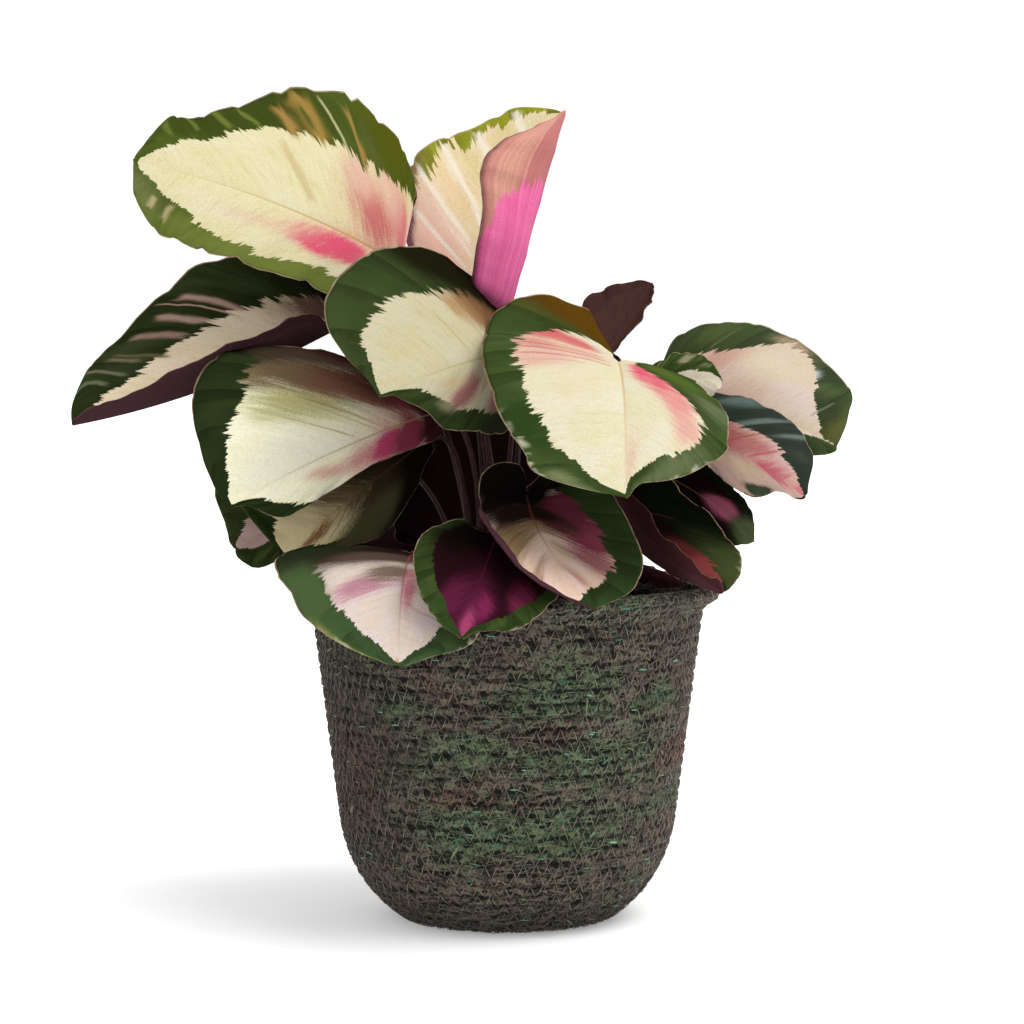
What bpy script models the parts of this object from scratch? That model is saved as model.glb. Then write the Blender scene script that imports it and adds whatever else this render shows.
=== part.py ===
"""Potted calathea in a stitched seagrass basket, in metres, +Z up, standing on z = 0.

Every leaf blade and every leaf stalk is a solid of its own. The stalks stand on the rootstock,
which sits in the soil of a plastic nursery pot, and the pot stands in a lined basket.
Leaf sizes are in millimetres; the front of the plant faces -Y.
"""
import math

import bmesh
import bpy
import numpy as np

MM = 0.001
ROUND = 56                     # sides of the pot, liner and basket

# basket: outer profile (radius, height) in mm, from the foot to the top of the flared rim
BASE_R = 46.0                  # flat foot
CORNER = (13.3, 51.0, 60.5)    # centre radius, centre height and radius of the rounded corner
WALL_LOW = (73.3, 43.0)
WALL_HIGH = (84.6, 130.0)
RIM_OUT = [(86.0, 134.0), (90.0, 138.0), (94.0, 142.0), (94.0, 145.5), (91.0, 147.0)]
RIM_IN = [(87.0, 146.0), (84.0, 142.0), (81.5, 136.0)]
BASKET_T = 4.5
GAP = 0.3                      # clearance between pieces that touch in the real thing
LINER_T = 0.6
LINER_TOP = 132.0

# nursery pot
POT_Z = 6.4
POT_H = 113.0
POT_R_LOW, POT_R_HIGH = 41.0, 62.0
POT_T = 1.4
LIP_OUT, LIP_H = 3.0, 6.0
DRAIN_R, DRAIN_PCD, DRAIN_COUNT = 5.0, 56.0, 6

SOIL_EDGE_Z, SOIL_TOP_Z = 111.0, 114.0
CROWN_R, CROWN_TOP_Z = 24.5, 125.7
STALK_Z = CROWN_TOP_Z + GAP

BLADE_T = 1.0
BLADE_ROWS, BLADE_HALF_COLS = 10, 4
STALK_R_LOW, STALK_R_HIGH = 2.0, 1.2
STALK_SIDES, STALK_RINGS = 6, 9

# Each leaf: where its blade starts and ends, the widest point of its left and right margins as
# seen from above with the tip pointing away, and where its stalk stands on the rootstock.
# arch and sway bend the midrib, turn is how far each half curls in degrees (+ drops the margin),
# belly moves the widest part, lobe and reach carry the margin past the base and the tip,
# full is how round each half is towards its base and its tip, wave is the ripple of the margin.
LEAVES = {
    "high_left": dict(base=(-47, 22, 285), tip=(-162, 14, 332), left=(-94, -2, 278), right=(-88, 52, 360),
                      root=(-6, 3), arch=9, turn=(22, 20), belly=(1.15, 1.25), lobe=(0, 0.05),
                      full_left=(0.9, 0.6), full_right=(0.45, 1.3), wave=(1.5, 3.5), waves=6.5),
    "high_back": dict(base=(-10, 52, 268), tip=(26, 42, 352), left=(-46, 72, 313), right=(-9, 6, 315),
                      root=(-1, 8), arch=20, turn=(-20, -210), belly=(0.9, 0.9), lobe=(0, 0),
                      full_left=(0.8, 1.0), full_right=(1.2, 0.5), wave=(1.5, 0)),
    "low_left": dict(base=(-78, 25, 258), tip=(-190, 2, 217), left=(-126, -10, 244), right=(-133, 46, 283),
                     root=(-13, 5), arch=-2, sway=-6, turn=(10, 25), belly=(1.2, 1.2), lobe=(0, 0.02),
                     full_left=(0.9, 0.8), full_right=(0.9, 1.15), wave=(0.5, 2), waves=5),
    "mid_left_top": dict(base=(0, 12, 246), tip=(-53, -72, 229), left=(-17, -34, 211), right=(-50, -11, 291),
                         root=(-4, -6), arch=8, turn=(25, 20), lobe=(0.05, 0.10), reach=(0, 0.16),
                         full_left=(0.7, 0.6), full_right=(0.8, 0.38), wave=(1.8, 1.8)),
    "front_right": dict(base=(48, -10, 243), tip=(47, -108, 189), left=(93, -62, 215), right=(-10, -50, 238),
                        root=(8, -3), arch=9, turn=(25, 22), lobe=(0.03, 0.3), lobe_up=0.6, spread=0.32,
                        full_left=(0.7, 0.6), full_right=(0.65, 0.7), wave=(1.8, 1.8)),
    "mid_left": dict(base=(-32, 0, 220), tip=(-117, -48, 182), left=(-62, -28, 187), right=(-109, -6, 247),
                     root=(-11, -3), arch=7, turn=(20, 22), lobe=(0.03, 0.02),
                     full_left=(0.7, 0.7), full_right=(1.1, 0.4), wave=(1.8, 1.8)),
    "lower_left": dict(base=(-35, 8, 208), tip=(-97, -22, 160), left=(-44, -12, 174), right=(-83, 18, 208),
                       root=(-16, -8), arch=4, sway=-2, turn=(15, 15), lobe=(0.04, 0.04), wave=(1, 1)),
    "far_left_low": dict(base=(-58, 50, 193), tip=(-121, 22, 159), left=(-84, 25, 161), right=(-115, 40, 202),
                         root=(-19, 7), arch=5, turn=(15, 15), full_left=(0.8, 0.6), full_right=(0.8, 0.6),
                         wave=(1, 1)),
    "drape_left": dict(base=(-40, -48, 167), tip=(-43, -122, 123), left=(-3, -88, 152), right=(-97, -62, 155),
                       root=(-11, -13), arch=12, turn=(30, 25), belly=(1.05, 1.05), lobe=(0.08, 0.08),
                       full_left=(0.7, 0.7), full_right=(0.7, 0.55)),
    "drape_mid": dict(base=(-4, -55, 171), tip=(-18, -127, 133), left=(21, -113, 151), right=(-36, -100, 164),
                      root=(-2, -17), arch=6, turn=(-20, -20), belly=(1.05, 1.05), lobe=(0, 0.12),
                      full_left=(1.3, 0.8), full_right=(0.6, 0.8), wave=(1.2, 1.2)),
    "centre_low": dict(base=(2, -30, 193), tip=(36, -106, 145), left=(50, -62, 179), right=(8, -63, 176),
                       root=(3, -9), arch=5, turn=(18, -70), lobe=(0.05, 0),
                       full_left=(0.7, 0.8), full_right=(0.9, 0.8), wave=(1.2, 1.2)),
    "right_low": dict(base=(41, 15, 190), tip=(89, -62, 147), left=(90, -15, 173), right=(67, -52, 169),
                      root=(16, -4), arch=-2, sway=9, turn=(20, 10), belly=(1.2, 1.2), wave=(1.2, 1.2)),
    "right_low_back": dict(base=(64, 35, 194), tip=(108, 5, 164), left=(99, 30, 189), right=(82, 4, 166),
                           root=(18, 4), arch=5, turn=(15, 15), wave=(1, 1)),
    "right_tip": dict(base=(69, 5, 217), tip=(126, -40, 186), left=(111, 0, 225), right=(93, -25, 193),
                      root=(15, -10), arch=6, turn=(25, 20), full_left=(0.8, 0.6), full_right=(0.8, 0.6),
                      wave=(1.2, 1.2)),
    "right_far": dict(base=(66, 32, 232), tip=(143, 12, 206), left=(119, 45, 258), right=(101, 10, 208),
                      root=(11, 5), arch=7, turn=(22, 18), reach=(0.06, 0),
                      full_left=(0.8, 0.5), full_right=(0.8, 0.5)),
    "small_right": dict(base=(61, 5, 231), tip=(92, -14, 235), left=(75, 5, 246), right=(79, -14, 226),
                        root=(12, 1), arch=3, turn=(15, 15), wave=(0.8, 0.8)),
    "back_dark": dict(base=(41, 58, 242), tip=(66, 80, 278), left=(61, 62, 262), right=(37, 80, 272),
                      root=(7, 14), arch=2, full_left=(0.8, 0.7), full_right=(0.8, 0.7), wave=(1.2, 1.2)),
    "rim_low": dict(base=(45, 10, 160), tip=(80, -5, 146), left=(65, 12, 155), right=(57, -16, 147),
                    root=(20, -12), arch=2, turn=(10, 10), wave=(0.5, 0.5)),
    "back_left_high": dict(base=(-35, 50, 262), tip=(-98, 115, 278), left=(-90, 52, 272),
                           right=(-36, 106, 270), root=(-10, 11)),
    "back_mid_high": dict(base=(8, 58, 242), tip=(12, 128, 252), left=(-28, 92, 247), right=(48, 87, 250),
                          root=(3, 12), lift=0.7),
    "back_right": dict(base=(36, 50, 214), tip=(98, 112, 218), left=(40, 102, 215), right=(88, 54, 221),
                       root=(12, 11)),
    "back_low_left": dict(base=(-44, 62, 168), tip=(-90, 116, 148), left=(-91, 65, 160), right=(-39, 109, 160),
                          root=(-15, 13), lift=0.2),
    "back_low_mid": dict(base=(10, 84, 162), tip=(18, 132, 138), left=(-14, 110, 151), right=(41, 103, 155),
                         root=(5, 20), lift=0.15),
    "back_low_right": dict(base=(46, 52, 186), tip=(102, 104, 162), left=(48, 100, 174), right=(95, 52, 180),
                           root=(16, 14)),
    "back_mid": dict(base=(-8, 48, 166), tip=(-14, 64, 236), left=(22, 57, 200), right=(-44, 57, 194),
                     root=(-3, 19), lift=0.3),
}

USUAL = dict(arch=6, sway=0, turn=(20, 20), belly=(1.1, 1.1), lobe=(0.05, 0.05), lobe_up=0.3,
             spread=0.12, reach=(0, 0), full_left=(0.8, 0.8), full_right=(0.8, 0.8),
             wave=(1.5, 1.5), waves=4.5, lift=0.45, bend=0.3)


def unit(v):
    return v / np.maximum(np.linalg.norm(v, axis=-1, keepdims=True), 1e-9)


def ease(x, low, high):
    x = np.clip((x - low) / (high - low), 0, 1)
    return x * x * (3 - 2 * x)


class Leaf:
    """One leaf: a curved midrib with two half blades hung on it."""

    def __init__(self, shape):
        self.s = {**USUAL, **shape}
        s = self.s
        self.base, self.tip = np.array(s["base"], float), np.array(s["tip"], float)
        sides = [np.array(s[k], float) for k in ("left", "right")]
        along = unit(self.tip - self.base)
        self.length = np.linalg.norm(self.tip - self.base)
        self.up = unit(np.cross(sides[1] - sides[0], along))
        across = np.cross(along, self.up)
        middle = (self.base + self.tip) / 2
        self.ctrl = middle + 2 * (s["arch"] * self.up + s["sway"] * across)
        self.out, self.rise = [], []
        for point, belly in zip(sides, s["belly"]):
            d = point - self.midrib(np.array(0.5 ** belly * 0.96))
            self.out.append(d)
            self.rise.append(unit(self.up - (self.up @ d) / (d @ d) * d) * np.linalg.norm(d))

    def midrib(self, a):
        a = np.asarray(a)[..., None]
        inside = np.maximum(a, 0)
        curve = ((1 - inside) ** 2 * self.base + 2 * inside * (1 - inside) * self.ctrl
                 + inside ** 2 * self.tip)
        back = unit(self.ctrl - self.base) - self.s["lobe_up"] * self.up
        return curve + np.minimum(a, 0) * self.length * back

    def surface(self, t, u):
        """Point of the blade: t runs along a side vein's place from base to tip, u across."""
        s, right, v = self.s, u > 0, np.abs(u)

        def side(pair):
            return np.where(right, pair[1], pair[0])

        edge = (1 - np.cos(np.pi * t)) / 2
        belly = side(s["belly"])
        lobe = side(s["lobe"]) * np.exp(-((t - 0.16) / s["spread"]) ** 2) * ease(t, 0, 0.13)
        reach = side(s["reach"]) * np.exp(-((t - 0.80) / 0.13) ** 2) * ease(1 - t, 0, 0.1)
        margin = edge ** belly * 0.96 + 0.04 * ease(t, 0.86, 1.0) - lobe + reach
        start = edge ** (belly + 0.65)
        along = start + (margin - start) * (0.6 * v + 0.4 * v * v)
        full = [np.where(t < 0.5, s[k][0], s[k][1]) for k in ("full_left", "full_right")]
        width = np.maximum(np.sin(np.pi * t), 0) ** side(full) * (1 - 0.28 * ease(t, 0.86, 1.0))
        turn = np.radians(side(s["turn"]))
        radius = 0.5 / np.sin(turn / 2)
        x = radius * (np.sin(turn / 2) + np.sin(turn * (v - 0.5)))
        z = radius * (np.cos(turn * (v - 0.5)) - np.cos(turn / 2))
        ripple = (side(s["wave"]) * v ** 3 * np.sqrt(np.maximum(np.sin(np.pi * t), 0))
                  * np.sin(2 * np.pi * (s["waves"] * t + np.where(right, 0.61, 0.13))))
        out = np.where(right[..., None], self.out[1], self.out[0])
        rise = np.where(right[..., None], self.rise[1], self.rise[0])
        return (self.midrib(along) + (width * x)[..., None] * out
                + (width * z)[..., None] * rise + ripple[..., None] * self.up)

    def stalk(self, count):
        """Centre line of the stalk, from the rootstock to just short of the blade."""
        foot = np.array([*self.s["root"], STALK_Z])
        reach = np.linalg.norm(self.base - foot)
        end_way = unit(self.ctrl - self.base)
        head = self.base - 1.3 * end_way
        a = foot + np.array([0, 0, reach * self.s["lift"]])
        b = head - end_way * reach * self.s["bend"]
        k = np.linspace(0, 1, count)[:, None]
        return ((1 - k) ** 3 * foot + 3 * k * (1 - k) ** 2 * a + 3 * k * k * (1 - k) * b
                + k ** 3 * head)


def principled(name, colour, roughness, metallic=0.0):
    m = bpy.data.materials.new(name)
    m.use_nodes = True
    shader = m.node_tree.nodes["Principled BSDF"]
    shader.inputs["Base Color"].default_value = (*colour, 1.0)
    shader.inputs["Roughness"].default_value = roughness
    shader.inputs["Metallic"].default_value = metallic
    m.diffuse_color = (*colour, 1.0)
    return m


def add_object(name, verts_mm, faces, material):
    mesh = bpy.data.meshes.new(name)
    mesh.from_pydata([tuple(float(c) * MM for c in v) for v in verts_mm], [], faces)
    mesh.materials.append(material)
    mesh.validate()
    bm = bmesh.new()
    bm.from_mesh(mesh)
    bmesh.ops.recalc_face_normals(bm, faces=bm.faces)
    bm.to_mesh(mesh)
    bm.free()
    for p in mesh.polygons:
        p.use_smooth = True
    obj = bpy.data.objects.new(name, mesh)
    bpy.context.scene.collection.objects.link(obj)
    return obj


def turned(name, profile, material, sides=ROUND):
    """A solid turned about Z from a closed profile of (radius, height), one end on the axis."""
    verts, rings = [], []
    for r, z in profile:
        if r == 0:
            rings.append([len(verts)] * sides)
            verts.append((0, 0, z))
        else:
            rings.append(list(range(len(verts), len(verts) + sides)))
            for i in range(sides):
                a = 2 * math.pi * i / sides
                verts.append((r * math.cos(a), r * math.sin(a), z))
    faces = []
    for low, high in zip(rings, rings[1:]):
        for i in range(sides):
            j = (i + 1) % sides
            face = list(dict.fromkeys((low[i], low[j], high[j], high[i])))
            if len(face) > 2:
                faces.append(face)
    return add_object(name, verts, faces, material)


def basket_wall(inset, top):
    """Points of the basket's wall profile moved inwards, from the floor up to a height."""
    c_r, c_z, radius = CORNER
    points = []
    for k in range(7):
        angle = math.radians(-57 + 49 * k / 6)
        points.append((c_r + (radius - inset) * math.cos(angle),
                       c_z + (radius - inset) * math.sin(angle)))
    for k in range(1, 6):
        f = k / 5
        z = WALL_LOW[1] + (min(WALL_HIGH[1], top) - WALL_LOW[1]) * f
        slope = (WALL_HIGH[0] - WALL_LOW[0]) / (WALL_HIGH[1] - WALL_LOW[1])
        points.append((WALL_LOW[0] + slope * (z - WALL_LOW[1]) - inset, z))
    return points


def wall_from(inset, floor, top):
    """The same wall cut off at an inner floor, where it meets a flat bottom."""
    c_r, c_z, radius = CORNER
    meet = c_r + math.sqrt((radius - inset) ** 2 - (c_z - floor) ** 2)
    return [(meet, floor)] + [p for p in basket_wall(inset, top) if p[1] > floor + 1.5]


def make_basket(material):
    outer = [(BASE_R, 0.0)] + [p for p in basket_wall(0, 130) if p[1] > 1.5] + RIM_OUT
    inner = wall_from(BASKET_T, BASKET_T, 130)
    return turned("basket", [(0, 0)] + outer + RIM_IN + inner[::-1] + [(0, BASKET_T)], material)


def make_liner(material):
    inset = BASKET_T + GAP
    floor = inset
    outer = wall_from(inset, floor, 130) + [(80.2, LINER_TOP)]
    inner = wall_from(inset + LINER_T, floor + LINER_T, 130) + [(80.2 - LINER_T, LINER_TOP)]
    profile = [(0, floor)] + outer + inner[::-1] + [(0, floor + LINER_T)]
    return turned("liner", profile, material)


def pot_radius(z, inset=0.0):
    return POT_R_LOW + (POT_R_HIGH - POT_R_LOW) * (z - POT_Z) / POT_H - inset


def make_pot(material):
    top, floor = POT_Z + POT_H, POT_Z + POT_T
    lip = top - LIP_H
    profile = [(0, POT_Z), (POT_R_LOW, POT_Z), (pot_radius(lip), lip),
               (pot_radius(lip) + LIP_OUT, lip), (pot_radius(top) + LIP_OUT, top),
               (pot_radius(top, POT_T), top), (pot_radius(floor, POT_T), floor), (0, floor)]
    pot = turned("nursery_pot", profile, material)
    verts, faces = [], []
    for k in range(DRAIN_COUNT):
        a = 2 * math.pi * k / DRAIN_COUNT
        cx, cy = DRAIN_PCD / 2 * math.cos(a), DRAIN_PCD / 2 * math.sin(a)
        n, first = 12, len(verts)
        for z in (POT_Z - 2, floor + 2):
            for i in range(n):
                b = 2 * math.pi * i / n
                verts.append((cx + DRAIN_R * math.cos(b), cy + DRAIN_R * math.sin(b), z))
        faces += [[first + i, first + (i + 1) % n, first + n + (i + 1) % n, first + n + i]
                  for i in range(n)]
        faces += [list(range(first, first + n))[::-1], list(range(first + n, first + 2 * n))]
    cutter = add_object("drain_cutter", verts, faces, material)
    cutter.hide_render = True
    cutter.display_type = "WIRE"
    cut = pot.modifiers.new("drain_holes", "BOOLEAN")
    cut.operation, cut.solver, cut.object = "DIFFERENCE", "EXACT", cutter
    return pot


def make_soil(material):
    floor = POT_Z + POT_T + GAP
    inset = POT_T + GAP
    profile = [(0, floor), (pot_radius(floor, inset), floor),
               (pot_radius(SOIL_EDGE_Z, inset), SOIL_EDGE_Z), (44, SOIL_EDGE_Z + 1.6),
               (CROWN_R + 4, SOIL_TOP_Z), (0, SOIL_TOP_Z)]
    return turned("potting_soil", profile, material, 40)


def make_crown(material):
    low = SOIL_TOP_Z + GAP
    profile = [(0, low), (CROWN_R - 2.0, low), (CROWN_R, low + 4), (CROWN_R - 0.6, CROWN_TOP_Z - 2),
               (CROWN_R - 2.0, CROWN_TOP_Z), (0, CROWN_TOP_Z)]
    return turned("crown", profile, material, 24)


def make_blade(name, leaf, material):
    cols = 2 * BLADE_HALF_COLS + 1
    t = np.linspace(0, 1, BLADE_ROWS + 1)[1:-1, None] * np.ones((1, cols))
    u = np.linspace(-1, 1, cols)[None, :] * np.ones((BLADE_ROWS - 1, 1))
    verts = [leaf.base, *leaf.surface(t, u).reshape(-1, 3), leaf.tip]
    last = len(verts) - 1
    faces = []
    for i in range(cols - 1):
        faces.append([0, 1 + i, 2 + i])
        for r in range(BLADE_ROWS - 2):
            a = 1 + r * cols + i
            faces.append([a, a + cols, a + cols + 1, a + 1])
        a = 1 + (BLADE_ROWS - 2) * cols + i
        faces.append([a, last, a + 1])
    blade = add_object(name, verts, faces, material)
    thick = blade.modifiers.new("thickness", "SOLIDIFY")
    thick.thickness, thick.offset = BLADE_T * MM, 0.0
    return blade


def make_stalk(name, leaf, material):
    path = leaf.stalk(STALK_RINGS)
    way = unit(np.gradient(path, axis=0))
    way[0] = (0, 0, 1)
    verts, faces, n = [], [], STALK_SIDES
    side = unit(np.cross(way[0], (0.2, 1, 0)))
    for k, (point, d) in enumerate(zip(path, way)):
        side = unit(side - (side @ d) * d)
        other = np.cross(d, side)
        r = STALK_R_LOW + (STALK_R_HIGH - STALK_R_LOW) * k / (len(path) - 1)
        for i in range(n):
            a = 2 * math.pi * i / n
            verts.append(point + r * (math.cos(a) * side + math.sin(a) * other))
    for k in range(len(path) - 1):
        for i in range(n):
            j = (i + 1) % n
            faces.append([k * n + i, k * n + j, (k + 1) * n + j, (k + 1) * n + i])
    faces += [list(range(n))[::-1], list(range(len(verts) - n, len(verts)))]
    return add_object(name, verts, faces, material)


def build():
    for obj in list(bpy.data.objects):
        bpy.data.objects.remove(obj, do_unlink=True)
    seagrass = principled("seagrass", (0.055, 0.06, 0.042), 0.85)
    film = principled("liner_film", (0.05, 0.05, 0.05), 0.35)
    pot_plastic = principled("pot_plastic", (0.03, 0.03, 0.032), 0.45)
    earth = principled("potting_mix", (0.045, 0.03, 0.02), 0.95)
    rootstock = principled("rootstock", (0.16, 0.09, 0.07), 0.75)
    leaf_skin = principled("leaf_blade", (0.09, 0.16, 0.07), 0.42)
    stalk_skin = principled("leaf_stalk", (0.16, 0.05, 0.07), 0.5)
    make_basket(seagrass)
    make_liner(film)
    make_pot(pot_plastic)
    make_soil(earth)
    make_crown(rootstock)
    for name, shape in LEAVES.items():
        leaf = Leaf(shape)
        make_blade("leaf_" + name, leaf, leaf_skin)
        make_stalk("stalk_" + name, leaf, stalk_skin)


build()
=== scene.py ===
"""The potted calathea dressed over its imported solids: patterned leaves on slim stalks, the
stitched seagrass basket, and what stands inside it. Sizes are in millimetres, as in the solids."""
import math

import bpy
import numpy as np
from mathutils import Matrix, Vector


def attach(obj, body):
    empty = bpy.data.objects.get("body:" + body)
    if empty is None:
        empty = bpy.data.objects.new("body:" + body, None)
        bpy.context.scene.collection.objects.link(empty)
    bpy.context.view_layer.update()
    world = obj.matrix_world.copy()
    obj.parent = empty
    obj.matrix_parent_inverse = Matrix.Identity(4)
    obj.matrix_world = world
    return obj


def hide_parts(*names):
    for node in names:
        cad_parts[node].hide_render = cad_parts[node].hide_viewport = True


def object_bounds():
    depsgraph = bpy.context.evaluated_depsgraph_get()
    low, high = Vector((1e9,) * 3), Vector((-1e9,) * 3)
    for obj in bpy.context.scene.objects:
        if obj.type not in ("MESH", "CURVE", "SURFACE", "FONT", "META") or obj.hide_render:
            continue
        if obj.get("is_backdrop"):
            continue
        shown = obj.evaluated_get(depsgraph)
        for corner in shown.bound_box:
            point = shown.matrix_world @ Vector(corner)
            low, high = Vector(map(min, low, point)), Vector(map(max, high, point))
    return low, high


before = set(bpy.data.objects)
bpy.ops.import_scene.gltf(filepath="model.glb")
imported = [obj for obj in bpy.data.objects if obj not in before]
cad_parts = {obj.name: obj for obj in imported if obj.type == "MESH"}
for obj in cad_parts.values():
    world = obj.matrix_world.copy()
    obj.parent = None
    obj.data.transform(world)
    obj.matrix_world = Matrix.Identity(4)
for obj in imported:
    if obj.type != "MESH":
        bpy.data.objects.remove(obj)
solid_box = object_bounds()
MM = 0.001
rng = np.random.default_rng(11)


# ---------------------------------------------------------------- leaf shapes
STALK_Z = 126.0             # where the stalks leave the rootstock
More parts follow.
